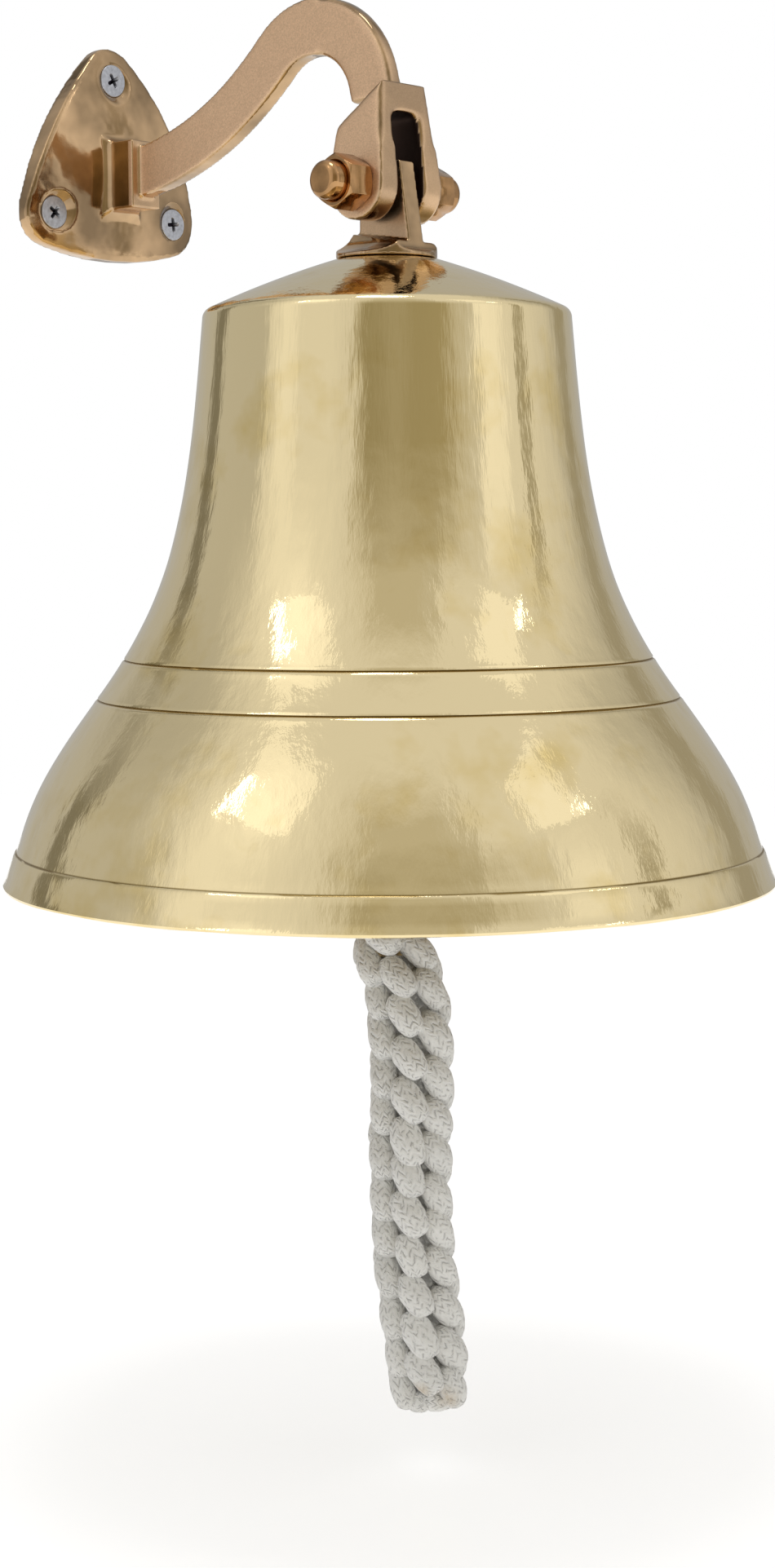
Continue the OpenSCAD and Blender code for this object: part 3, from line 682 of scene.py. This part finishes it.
class BracketOperator(bpy.types.Operator):
    """Softens the bracket's corners and marks the sides that the grinding belt left satin"""
    bl_idname = "ships_bell.bracket"
    bl_label = "Bracket"

    def execute(self, context):
        sizes, finishes = context.scene.casting_sizes, context.scene.finishes
        material = cast_bronze_material(finishes)
        piece = casting("wall_bracket", "bracket_casting", sizes.bracket_grain, sizes.softening)
        group = piece.vertex_groups.new(name="fettled")
        for v in piece.data.vertices:
            near = v.co - PIVOT
            from_hole = max(abs(near.x), abs(near.z)) if near.z < 17 * MM else near.z
            if near.x > -20 * MM and from_hole > 8 * MM:
                group.add([v.index], min(1, (from_hole - 8 * MM) / (3 * MM)), "REPLACE")
        apply_modifier(piece, "SMOOTH", factor=0.5, iterations=sizes.fork_softening, vertex_group="fettled")
        piece.vertex_groups.clear()

        def satin(v):
            """Full on the arm's flat sides, and half on the front of the fork, which both roughens that face and paints
            it lighter as a painted highlight.
            """
            if v.co.x < 15 * MM:
                return 0.0
            side = max(0.0, min(1.0, (abs(v.normal.y) - 0.86) / 0.1))
            fork_front_satin_and_highlight = 0.5 * max(0.0, min(1.0, (v.normal.x - 0.7) / 0.2))
            return max(side, fork_front_satin_and_highlight)
        point_attribute(piece, "satin", satin)
        slot_r = 4.6 * MM

        def rough_cast_and_shade(v):
            """The slot's inside stays rough as cast, and is painted near-black as painted shade."""
            near = v.co - PIVOT
            if abs(near.x) < 7.6 * MM and abs(near.y) < slot_r and near.z < 16.3 * MM and abs(v.normal.x) < 0.5:
                return 1.0
            return 0.0
        point_attribute(piece, "rough_cast_and_shade", rough_cast_and_shade)
        finish_piece(piece, "wall_bracket", material)
        hanger = casting("hanger", "hanger_casting", sizes.small_grain, sizes.softening)
        point_attribute(hanger, "satin", lambda v: 0.6 if abs(v.normal.y) > 0.95 else 0.0)
        point_attribute(hanger, "rough_cast_and_shade", lambda v: 0.0)
        finish_piece(hanger, "hanger", material)
        return {"FINISHED"}


# ---------------------------------------------------------------- screws, stud and nuts

def hex_nut(name, flats, height, bore):
    """Turns a bevelled blank with its bore, and cuts six flats on it. It stands on Z from 0 up."""
    corner = flats / math.sqrt(3)
    drop = (corner - flats / 2) * 0.75
    chamfer = 0.4 * MM
    outline = [(bore + chamfer, 0), (flats / 2, 0), (corner, drop), (corner, height - drop),
               (flats / 2, height), (bore + chamfer, height), (bore, height - chamfer), (bore, chamfer)]
    piece = lathe(name, outline, 96, closed=True)
    edit(piece)
    for side in range(6):
        normal = Vector((math.cos(math.radians(60 * side)), math.sin(math.radians(60 * side)), 0))
        bpy.ops.mesh.select_all(action="SELECT")
        bpy.ops.mesh.bisect(plane_co=normal * flats / 2, plane_no=normal, use_fill=True, clear_outer=True)
    bpy.ops.mesh.select_all(action="SELECT")
    bpy.ops.mesh.remove_doubles(threshold=2e-6)
    bpy.ops.mesh.normals_make_consistent(inside=False)
    leave_edit()
    return piece


def bevel_edges(piece, width, angle=35):
    apply_modifier(piece, "BEVEL", width=width, segments=2, limit_method="ANGLE",
                   angle_limit=math.radians(angle), harden_normals=False)


class PivotOperator(bpy.types.Operator):
    """Turns the pivot stud and makes the nut at each of its ends"""
    bl_idname = "ships_bell.pivot"
    bl_label = "Pivot stud and nuts"

    def execute(self, context):
        sizes, finishes = context.scene.fastener_sizes, context.scene.finishes
        radius, half = (STUD_HIGH.z - STUD_LOW.z) / 2, (STUD_HIGH.y - STUD_LOW.y) / 2
        bevel = sizes.stud_bevel
        outline = [(0, -half), (radius - bevel, -half), (radius, -half + bevel), (radius, half - bevel),
                   (radius - bevel, half), (0, half)]
        material = turned_material("Bronze_bar_turned", finishes.turned_bronze, 0.1, 0.4 * MM, 1)
        stud = lathe("pivot_stud_turned", round_corners(outline, {1: 0.7 * MM, 2: 0.7 * MM, 3: 0.7 * MM, 4: 0.7 * MM}), 64)
        turn_to(stud, (0, 1, 0), PIVOT)
        smooth_by_angle(stud, 35)
        finish_piece(stud, "pivot_stud", material)
        for node, side in (("pivot_nut_left", -1), ("pivot_nut_right", 1)):
            low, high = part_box(node)
            nut = hex_nut(node + "_cut", sizes.pivot_nut_af, high.y - low.y, radius + 0.05 * MM)
            bevel_edges(nut, 0.22 * MM)
            turn_to(nut, (0, side, 0), Vector((PIVOT.x, low.y if side > 0 else high.y, PIVOT.z)))
            smooth_by_angle(nut, 35)
            finish_piece(nut, node, material)
        return {"FINISHED"}


def thread_ridge(name, root, crest, pitch, turns, tip):
    """Winds a closed ridge of thread down from Z = 0. It fades at its start, and follows the core
    down to the tip, which is a pair: the height where the point begins, and the point's length."""
    deselect()
    bpy.ops.mesh.primitive_circle_add(vertices=4, radius=pitch / 2, location=(0, 0, 0))
    piece = bpy.context.object
    piece.name = piece.data.name = name
    corners = ((root - 0.25 * MM, pitch * 0.42), (crest, pitch * 0.08), (crest, -pitch * 0.08), (root - 0.25 * MM, -pitch * 0.42))
    for vertex, (radius, height) in zip(piece.data.vertices, corners):
        vertex.co = (radius, 0, height)
    apply_modifier(piece, "SCREW", axis="Z", angle=2 * math.pi, screw_offset=-pitch, iterations=turns, steps=28,
                   render_steps=28, use_smooth_shade=True, use_merge_vertices=False)
    edit(piece)
    bpy.ops.mesh.select_mode(type="EDGE")
    bpy.ops.mesh.select_all(action="DESELECT")
    bpy.ops.mesh.select_non_manifold(extend=False, use_wire=False, use_multi_face=False, use_non_contiguous=False,
                                     use_verts=False)
    bpy.ops.mesh.edge_face_add()
    bpy.ops.mesh.select_all(action="SELECT")
    bpy.ops.mesh.normals_make_consistent(inside=False)
    leave_edit()
    for v in piece.data.vertices:
        radius = math.hypot(v.co.x, v.co.y)
        core = root * max(0.12, min(1, 1 + (v.co.z - tip[0]) / tip[1]))
        stand = max(0, radius - root) * min(1, max(0, -v.co.z / pitch * 1.2)) * (0.35 + 0.65 * core / root)
        keep = (core * min(1, radius / root) * 0.98 + stand) / radius
        v.co.x *= keep
        v.co.y *= keep
    return piece


class ScrewsOperator(bpy.types.Operator):
    """Turns one wall screw with its thread, cuts its cross recess, and copies it to the three holes"""
    bl_idname = "ships_bell.screws"
    bl_label = "Wall screws"

    def execute(self, context):
        sizes, finishes = context.scene.fastener_sizes, context.scene.finishes
        low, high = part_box("wall_screw_top")
        head_r, crest = sizes.screw_head_d / 2, sizes.screw_thread_d / 2
        root, length = crest - 0.55 * MM, high.x - low.x
        neck = crest - 0.35 * MM
        rim, point = 0.4 * MM, 2.6 * MM
        cone = head_r - neck
        outline = [(0, 0.12 * MM), (head_r * 0.5, 0.09 * MM), (head_r * 0.85, 0.02 * MM), (head_r - 0.12 * MM, -0.02 * MM),
                   (head_r, -0.14 * MM), (head_r, -rim), (neck, -rim - cone),
                   (neck, -rim - cone - 2.6 * MM), (root, -rim - cone - 3.4 * MM), (root, -length + point),
                   (root * 0.45, -length + point * 0.4), (0, -length)]
        outline = [(r, h - 0.12 * MM) if h > -length else (r, h) for r, h in outline]
        model = lathe("wall_screw_model", outline, 72)
        cross = []
        for turn in (0, 90):
            deselect()
            bpy.ops.mesh.primitive_cube_add(size=1, location=(0, 0, 0))
            arm = bpy.context.object
            edit(arm)
            bpy.ops.transform.resize(value=(4.5 * MM, 1.05 * MM, 2.4 * MM))
            bpy.ops.transform.translate(value=(0, 0, -0.55 * MM))
            choose(arm, "FACE", lambda f: f.normal.z < -0.5)
            bpy.ops.transform.resize(value=(0.42, 0.7, 1))
            leave_edit()
            arm.rotation_euler.z = math.radians(turn + 20)
            deselect()
            arm.select_set(True)
            bpy.context.view_layer.objects.active = arm
            bpy.ops.object.transform_apply(location=True, rotation=True, scale=True)
            bevel_edges(arm, 0.3 * MM, 40)
            cross.append(arm)
        for arm in cross:
            apply_modifier(model, "BOOLEAN", operation="DIFFERENCE", object=arm, solver="EXACT")
        for arm in cross:
            bpy.data.objects.remove(arm)
        # Marks the cross recess, whose walls are painted near-black as painted shade.
        point_attribute(model, "recess", lambda v: 1.0 if v.co.z > -2.6 * MM and math.hypot(v.co.x, v.co.y) < 2.28 * MM
                        and v.co.z < -0.13 * MM else 0.0)
        bevel_edges(model, 0.07 * MM, 50)
        start = rim + cone + 3.0 * MM
        turns = int((length - start - 0.2 * MM) / sizes.screw_pitch)
        ridge = thread_ridge("wall_screw_thread", root, crest, sizes.screw_pitch, turns, (start - length + point, point))
        ridge.data.transform(Matrix.Translation((0, 0, -start)))
        ridge.data.attributes.new("recess", "FLOAT", "POINT")
        deselect()
        ridge.select_set(True)
        model.select_set(True)
        bpy.context.view_layer.objects.active = model
        bpy.ops.object.join()
        smooth_by_angle(model, 35)
        material = zinc_material(finishes)
        for number, (node, spin) in enumerate((("wall_screw_top", 8), ("wall_screw_left", 33), ("wall_screw_right", -14))):
            low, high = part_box(node)
            screw = model.copy()
            screw.data = model.data.copy()
            screw.name = screw.data.name = node + "_driven"
            bpy.context.scene.collection.objects.link(screw)
            screw.data.transform(Matrix.Rotation(math.radians(spin), 4, "Z"))
            turn_to(screw, (1, 0, 0), Vector((high.x, (low.y + high.y) / 2, (low.z + high.z) / 2)))
            finish_piece(screw, node, material)
        bpy.data.objects.remove(model)
        return {"FINISHED"}


# ---------------------------------------------------------------- the clapper and its fixings

class ClapperOperator(bpy.types.Operator):
    """Makes the crown washer and nut, the clapper's eye, rod and ball, and the tail eye"""
    bl_idname = "ships_bell.clapper"
    bl_label = "Clapper"

    def execute(self, context):
        castings, sizes, finishes = context.scene.casting_sizes, context.scene.fastener_sizes, context.scene.finishes
        brass = turned_material("Brass_bar_machined", finishes.plain_brass, 0.24, 0.5 * MM, 2)
        bronze = turned_material("Bronze_forged_and_turned", finishes.turned_bronze, 0.22, 0.6 * MM, 2)
        low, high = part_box("crown_washer")
        radius, thick, bore = (high.y - low.y) / 2, high.z - low.z, 5.05 * MM
        outline = [(bore, 0.1 * MM), (bore + 0.1 * MM, 0), (radius - 0.3 * MM, 0), (radius, 0.3 * MM),
                   (radius, thick - 0.3 * MM), (radius - 0.3 * MM, thick), (bore + 0.1 * MM, thick),
                   (bore, thick - 0.1 * MM)]
        washer = lathe("crown_washer_pressed", outline, 72, closed=True)
        turn_to(washer, (0, 0, 1), Vector((AXIS_X, 0, low.z)))
        smooth_by_angle(washer, 35)
        finish_piece(washer, "crown_washer", brass)
        low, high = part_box("crown_nut")
        nut = hex_nut("crown_nut_cut", sizes.crown_nut_af, high.z - low.z, bore)
        bevel_edges(nut, 0.25 * MM)
        turn_to(nut, (0, 0, 1), Vector((AXIS_X, 0, low.z)))
        smooth_by_angle(nut, 35)
        finish_piece(nut, "crown_nut", brass)
        for node, material, slot in (("clapper_eye", brass, "plain_brass"), ("clapper_rod", bronze, "cast_bronze"),
                                     ("tail_eye", brass, "plain_brass")):
            piece = casting(node, node + "_forged", castings.small_grain, castings.softening)
            finish_piece(piece, node, material)
        low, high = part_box("clapper_ball")
        radius, half, bore = (high.y - low.y) / 2, (high.z - low.z) / 2, 3.55 * MM
        outline = [(bore, -half), (bore + 0.9 * MM, -half)]
        for step in range(1, 40):
            angle = -math.pi / 2 + math.pi * step / 40
            height = radius * math.sin(angle)
            if abs(height) < half - 0.2 * MM:
                score = 0.22 * MM if abs(abs(height) - 3.2 * MM) < 0.5 * MM else 0
                outline.append((radius * math.cos(angle) - score, height))
        outline += [(bore + 0.9 * MM, half), (bore, half)]
        ball = lathe("clapper_ball_turned", outline, 80, closed=True)
        turn_to(ball, (0, 0, 1), Vector((AXIS_X, 0, (low.z + high.z) / 2)))
        smooth_by_angle(ball, 40)
        finish_piece(ball, "clapper_ball", bronze)
        return {"FINISHED"}


# ---------------------------------------------------------------- the bell rope

def rope_points(count):
    """Points at even distances along the rope's route, each with its girth, in metres."""
    stations = [MOUTH + Vector(p) * MM for p in ROPE_ROUTE]
    dense = []
    for i in range(len(stations) - 1):
        p0, p1, p2, p3 = (stations[max(0, min(len(stations) - 1, i + k))] for k in (-1, 0, 1, 2))
        for step in range(40):
            t = step / 40
            point = ((p1 * 2) + (p2 - p0) * t + (p0 * 2 - p1 * 5 + p2 * 4 - p3) * t * t
                     + (p1 * 3 - p0 - p2 * 3 + p3) * t ** 3) / 2
            dense.append((point, ROPE_GIRTH[i] + (ROPE_GIRTH[i + 1] - ROPE_GIRTH[i]) * t))
    dense.append((stations[-1], ROPE_GIRTH[-1]))
    lengths = [0]
    for (a, _), (b, _) in zip(dense, dense[1:]):
        lengths.append(lengths[-1] + (b - a).length)
    made, at = [], 0
    for i in range(count):
        wanted = lengths[-1] * i / (count - 1)
        while at < len(lengths) - 2 and lengths[at + 1] < wanted:
            at += 1
        share = (wanted - lengths[at]) / (lengths[at + 1] - lengths[at])
        made.append((dense[at][0].lerp(dense[at + 1][0], share), dense[at][1] + (dense[at + 1][1] - dense[at][1]) * share))
    return made, lengths[-1]


def braid_height(across, along, stitch):
    """Height of the braided cord's yarn, from 0 in a gap to 1 on a stitch, in metres of cord."""
    side = 1.4 * MM
    lean = side - abs((across % (2 * side)) - side)
    return abs(math.sin((along + lean) * math.pi / stitch)) ** 0.6


def crown_of_cord(sizes):
    """One visible crown of the plait: a short bent length of braided cord with rounded ends. It lies
    along Z, its bulge faces +Y, and its weave map is in metres."""
    deselect()
    bpy.ops.mesh.primitive_uv_sphere_add(segments=34, ring_count=24, radius=1, location=(0, 0, 0))
    piece = bpy.context.object
    piece.name = piece.data.name = "rope_crown_model"
    width, depth, half = sizes.cord_d / 2, sizes.cord_d * 0.46, 5.9 * MM
    mesh = piece.data
    weave = mesh.uv_layers.active
    weave.name = "weave"
    turn = 2 * math.pi * sizes.cord_d / 2
    for loop in mesh.loops:
        u, v = weave.data[loop.index].uv
        weave.data[loop.index].uv = (u * turn, v * half * 2.2)
    for vertex in mesh.vertices:
        x, y, z = vertex.co
        around = math.hypot(x, y)
        if around < 1e-6:
            vertex.co = (0, 0, math.copysign(half, z))
            continue
        angle = math.atan2(y, x)
        blunt = around ** 0.55
        latitude = math.asin(max(-1, min(1, z)))
        along = (latitude / math.pi + 0.5) * half * 2.2
        rise = 0.12 * MM * (braid_height((angle / (2 * math.pi) % 1) * turn, along, 2 * sizes.stitch) - 0.6) * min(1, around * 1.6)
        rise += 0.25 * MM * noise_at.noise(Vector((x * 2.2, y * 2.2, z * 3)))
        vertex.co = ((width * blunt + rise) * math.cos(angle), (depth * blunt + rise) * math.sin(angle),
                     half * math.copysign(abs(z) ** 0.92, z))
    for vertex in mesh.vertices:
        vertex.co.y -= 0.3 * MM * (vertex.co.z / (4 * MM)) ** 2
    return piece


def place_crown(model, matrix, tone):
    """Copies one crown of the plait to its place, and gives it its own tone."""
    crown = model.copy()
    crown.data = model.data.copy()
    bpy.context.scene.collection.objects.link(crown)
    crown.data.transform(matrix)
    point_attribute(crown, "tone", lambda v: tone)
    return crown


class RopeOperator(bpy.types.Operator):
    """Plaits the bell rope from crowns of braided cord, with its eye and its whipping"""
    bl_idname = "ships_bell.rope"
    bl_label = "Bell rope"

    def execute(self, context):
        sizes, finishes = context.scene.rope_sizes, context.scene.finishes
        draw = random.Random(7)
        points, length = rope_points(241)
        model = crown_of_cord(sizes)
        crowns = []
        count = int(length / sizes.crown_pitch) + 2
        for column in range(6):
            angle = math.radians(-53.75 + 60 * column)
            for row in range(count):
                s = (row + 0.5 * (column % 2)) * sizes.crown_pitch - 1.5 * MM + draw.uniform(-0.8, 0.8) * MM
                if s > length - 4.5 * MM:
                    continue
                index = min(240, max(0, round(s / length * 240)))
                before, after = points[max(0, index - 3)], points[min(240, index + 3)]
                centre, girth = points[index]
                along = (after[0] - before[0]).normalized()
                radial = Vector((math.cos(angle), math.sin(angle), 0))
                radial = (radial - along * radial.dot(along)).normalized()
                taper = (after[1] - before[1]) * sizes.diameter / 2 / max(1e-6, (after[0] - before[0]).length)
                down = (along + radial * max(-0.8, min(0.8, taper))).normalized()
                outward = (radial - down * radial.dot(down)).normalized()
                tilt = sizes.tilt + draw.uniform(-0.16, 0.16)
                axis = (down * math.cos(tilt) + outward.cross(down) * math.sin(tilt) + outward * 0.16).normalized()
                bulge = (outward - axis * outward.dot(axis)).normalized()
                side = bulge.cross(-axis)
                radius = sizes.diameter / 2 * girth - sizes.cord_d * 0.46 + 0.1 * MM
                centre = centre + along * min(0, s)
                scale = draw.uniform(0.91, 1.05) * (0.86 + 0.14 * min(1, girth))
                turn = Matrix((side, bulge, -axis)).transposed().to_4x4()
                crowns.append(place_crown(model, Matrix.Translation(centre + radial * radius) @ turn
                                          @ Matrix.Scale(scale, 4), draw.random()))
        end, before = points[-1][0], points[-9][0]
        down = (end - before).normalized()
        for number in range(3):
            angle = math.radians(6 + 120 * number)
            radial = Vector((math.cos(angle), math.sin(angle), 0))
            radial = (radial - down * radial.dot(down)).normalized()
            axis = (radial.cross(down) + radial * 0.25).normalized()
            bulge = (down + radial * 0.35)
            bulge = (bulge - axis * bulge.dot(axis)).normalized()
            turn = Matrix((bulge.cross(-axis), bulge, -axis)).transposed().to_4x4()
            crowns.append(place_crown(model, Matrix.Translation(end - down * 3.7 * MM + radial * 3.1 * MM) @ turn
                                      @ Matrix.Scale(0.86, 4), draw.random()))
        bpy.data.objects.remove(model)
        deselect()
        bpy.ops.mesh.primitive_circle_add(vertices=20, radius=1 * MM, fill_type="NGON", location=points[0][0])
        core = bpy.context.object
        edit(core)
        here, size = points[0][0], 1 * MM
        for i in range(0, 231, 10):
            place, girth = points[i]
            want = (sizes.diameter / 2 - sizes.cord_d * 0.62) * girth
            bpy.ops.mesh.extrude_region_move(TRANSFORM_OT_translate={"value": place + Vector((0, 0, -0.2 * MM)) - here})
            bpy.ops.transform.resize(value=(want / size, want / size, 1))
            here, size = place + Vector((0, 0, -0.2 * MM)), want
        bpy.ops.mesh.select_all(action="SELECT")
        bpy.ops.mesh.normals_make_consistent(inside=False)
        leave_edit()
        core.data.uv_layers[0].name = "weave"
        # The core takes the full tone, so it is painted darker, as painted shade deep between the crowns.
        point_attribute(core, "tone", lambda v: 1.0)
        deselect()
        for part in crowns + [core]:
            part.select_set(True)
        bpy.context.view_layer.objects.active = crowns[0]
        bpy.ops.object.join()
        rope = bpy.context.object
        rope.name = rope.data.name = "bell_rope_plait"
        spots = [(end + Vector((8, -3, 5)) * MM, 4.5 * MM), (end + Vector((4, -8, 8)) * MM, 3 * MM),
                 (end + Vector((-4, -9, 1)) * MM, 3 * MM)]
        point_attribute(rope, "stain", lambda v: max(max(0.0, 1 - (v.co - spot).length / reach) * 2.2
                                                     for spot, reach in spots))
        smooth_by_angle(rope, 60)
        cotton = cotton_material(finishes, sizes.stitch)
        finish_piece(rope, "bell_rope", cotton)

        low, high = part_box("rope_eye")
        strand = (high.x - low.x) / 2
        mean = (high.z - low.z) / 2 - strand
        deselect()
        bpy.ops.mesh.primitive_torus_add(major_segments=72, minor_segments=24, major_radius=mean, minor_radius=strand)
        eye = bpy.context.object
        eye.name = eye.data.name = "rope_eye_strand"
        for vertex in eye.data.vertices:
            x, y, z = vertex.co
            major = math.atan2(y, x)
            ring = Vector((math.cos(major), math.sin(major), 0)) * mean
            offset = vertex.co - ring
            minor = math.atan2(z, offset.dot(ring.normalized()))
            lay = 0.9 + 0.1 * abs(math.cos(1.5 * (minor - 6 * major)))
            vertex.co = ring + offset * lay
        eye.data.uv_layers.active.name = "weave"
        for loop in eye.data.loops:
            u, v = eye.data.uv_layers["weave"].data[loop.index].uv
            eye.data.uv_layers["weave"].data[loop.index].uv = (v * 2 * math.pi * strand, u * 2 * math.pi * mean)
        turn_to(eye, (1, 0, 0), (low + high) / 2)
        smooth_by_angle(eye, 60)
        finish_piece(eye, "rope_eye", cotton)

        low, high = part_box("rope_whipping")
        turns = 5
        twine_r = (high.z - low.z) / turns / 2
        coils = []
        for turn in range(turns):
            deselect()
            bpy.ops.mesh.primitive_torus_add(major_segments=56, minor_segments=12, location=(0, 0, 0),
                                             major_radius=(high.x - low.x) / 2 - twine_r, minor_radius=twine_r * 1.04)
            coil = bpy.context.object
            edit(coil)
            bpy.ops.transform.translate(value=Vector(((low.x + high.x) / 2, 0, low.z + twine_r * (2 * turn + 1))))
            leave_edit()
            coils.append(coil)
        deselect()
        for coil in coils:
            coil.select_set(True)
        bpy.context.view_layer.objects.active = coils[0]
        bpy.ops.object.join()
        whipping = bpy.context.object
        whipping.name = whipping.data.name = "rope_whipping_turns"
        deselect()
        smooth_by_angle(whipping, 60)
        turn_to(whipping, (0, 0, 1), Vector((0, 0, 0)))
        finish_piece(whipping, "rope_whipping", twine_material(finishes))
        return {"FINISHED"}


# ---------------------------------------------------------------- the stage

def camera_axes():
    az, tip, roll = (math.radians(a) for a in (CAMERA_AZIMUTH, CAMERA_PITCH, CAMERA_ROLL))
    ahead = Vector((-math.sin(az) * math.cos(tip), math.cos(az) * math.cos(tip), -math.sin(tip)))
    right = Vector((math.cos(az), math.sin(az), 0))
    up = right.cross(ahead)
    return (right * math.cos(roll) + up * math.sin(roll), up * math.cos(roll) - right * math.sin(roll), ahead, right)


def softbox(name, azimuth, height, distance, width, tall, power, colour="#FFFFFF", aim=(0.098, 0, -0.12)):
    """A flat area light on a circle round the bell. Azimuth is measured from the camera, to its right."""
    right, up, ahead, level = camera_axes()
    toward = Vector((-ahead.x, -ahead.y, 0)).normalized()
    angle = math.radians(azimuth)
    side = toward * math.cos(angle) + level * math.sin(angle)
    data = bpy.data.lights.new(name, "AREA")
    data.shape = "RECTANGLE"
    data.size, data.size_y = width, tall
    data.energy = power
    data.color = srgb(colour)[:3]
    light = bpy.data.objects.new(name, data)
    bpy.context.scene.collection.objects.link(light)
    light.location = Vector(aim) + side * distance + Vector((0, 0, height))
    light.rotation_euler = (Vector(aim) - light.location).to_track_quat("-Z", "Y").to_euler()
    return light


class StageOperator(bpy.types.Operator):
    """Sets the camera, the pale floor, the soft boxes and the pale surroundings"""
    bl_idname = "ships_bell.stage"
    bl_label = "Stage"

    def execute(self, context):
        scene, finishes = context.scene, context.scene.finishes
        right, up, ahead, level = camera_axes()
        data = bpy.data.cameras.new("camera")
        data.sensor_fit = "VERTICAL"
        data.sensor_height = 36
        data.lens = 60.24
        data.clip_start, data.clip_end = 0.02, 50
        camera = bpy.data.objects.new("camera", data)
        scene.collection.objects.link(camera)
        place = CAMERA_AIM + level * CAMERA_ASIDE - ahead * CAMERA_DISTANCE
        camera.matrix_world = Matrix.Translation(place) @ Matrix((right, up, -ahead)).transposed().to_4x4()
        scene.camera = camera

        deselect()
        bpy.ops.mesh.primitive_circle_add(vertices=96, radius=1.6, fill_type="NGON",
                                          location=(AXIS_X, 0, CAD_BOUNDS[0][2] - 13 * MM))
        floor = bpy.context.object
        floor.name = floor.data.name = "floor"
        bpy.ops.object.transform_apply(location=True, rotation=True, scale=True)
        floor.data.materials.append(floor_material(finishes))

        softbox("key_softbox", -50, 1.05, 0.95, 0.5, 0.5, 0.18)
        softbox("right_softbox", 62, 0.95, 1.0, 0.4, 0.4, 0.12)
        softbox("top_softbox", -20, 1.30, 0.15, 0.35, 0.35, 2.2)
        softbox("left_lamp", -60, 0.80, 0.85, 0.06, 0.22, 0.10)
        softbox("right_lamp", 74, 0.66, 0.9, 0.05, 0.1, 0.04)

        world = bpy.data.worlds.new("pale_studio")
        scene.world = world
        world.use_nodes = True
        tree = world.node_tree
        tree.nodes.clear()
        ray = add_node(tree, "ShaderNodeTexCoord").outputs["Generated"]
        toward = Vector((-ahead.x, -ahead.y, 0)).normalized()
        ahead_of = add_node(tree, "ShaderNodeVectorMath", {0: ray, 1: tuple(toward)}, operation="DOT_PRODUCT")
        beside = add_node(tree, "ShaderNodeVectorMath", {0: ray, 1: tuple(level)}, operation="DOT_PRODUCT")
        angle = math_node(tree, "ARCTAN2", beside.outputs["Value"], ahead_of.outputs["Value"])
        share = math_node(tree, "MULTIPLY_ADD", angle, 1 / (2 * math.pi))
        share.node.inputs[2].default_value = 0.5
        rings = [ramp_node(tree, share, [((degrees + 180) / 360, (level_of, level_of * (1 - 0.1 * warm),
                                                                  level_of * (1 - 0.4 * warm), 1))
                                         for degrees, level_of, warm in ring]).outputs["Color"]
                 for ring in (ROOM_LOW, ROOM_HIGH)]
        height = add_node(tree, "ShaderNodeSeparateXYZ", {"Vector": ray}).outputs["Z"]
        rise = add_node(tree, "ShaderNodeMapRange", {"Value": height, "From Min": 0.3, "From Max": 0.62})
        room = mix_colours(tree, rise.outputs["Result"], rings[0], rings[1])
        over = add_node(tree, "ShaderNodeMapRange", {"Value": height, "From Min": 0.74, "From Max": 0.9})
        room = mix_colours(tree, over.outputs["Result"], room, grey(0.76))
        seen = add_node(tree, "ShaderNodeLightPath").outputs["Is Camera Ray"]
        air = add_node(tree, "ShaderNodeBackground", {"Color": room, "Strength": 1.0})
        backdrop = add_node(tree, "ShaderNodeBackground", {"Color": grey(1.0), "Strength": 1.0})
        mixed = add_node(tree, "ShaderNodeMixShader", {0: seen, 1: air.outputs[0], 2: backdrop.outputs[0]})
        add_node(tree, "ShaderNodeOutputWorld", {"Surface": mixed.outputs[0]})
        scene.view_settings.view_transform = "Standard"
        return {"FINISHED"}


class ShipsBellPanel(bpy.types.Panel):
    """Sizes, colours and steps of the ship's bell"""
    bl_idname = "VIEW3D_PT_ships_bell"
    bl_label = "Ship's Bell"
    bl_space_type = "VIEW_3D"
    bl_region_type = "UI"
    bl_category = "Ship's Bell"

    def draw(self, context):
        for name, group in GROUPS:
            column = self.layout.column(align=True)
            column.label(text=group.__doc__)
            for key in group.__annotations__:
                column.prop(getattr(context.scene, name), key)
        for operator in OPERATORS:
            self.layout.operator(operator.bl_idname)


OPERATORS = (StageOperator, RopeOperator, BellOperator, BracketOperator, PivotOperator, ScrewsOperator,
             ClapperOperator)


def register():
    for _, group in GROUPS:
        bpy.utils.register_class(group)
    for operator in OPERATORS:
        bpy.utils.register_class(operator)
    bpy.utils.register_class(ShipsBellPanel)
    for name, group in GROUPS:
        setattr(bpy.types.Scene, name, PointerProperty(type=group))


def unregister():
    for name, _ in GROUPS:
        delattr(bpy.types.Scene, name)
    bpy.utils.unregister_class(ShipsBellPanel)
    for operator in reversed(OPERATORS):
        bpy.utils.unregister_class(operator)
    for _, group in reversed(GROUPS):
        bpy.utils.unregister_class(group)


def main():
    register()
    for operator in OPERATORS:
        group, name = operator.bl_idname.split(".")
        getattr(getattr(bpy.ops, group), name)()


if __name__ == "__main__":
    main()
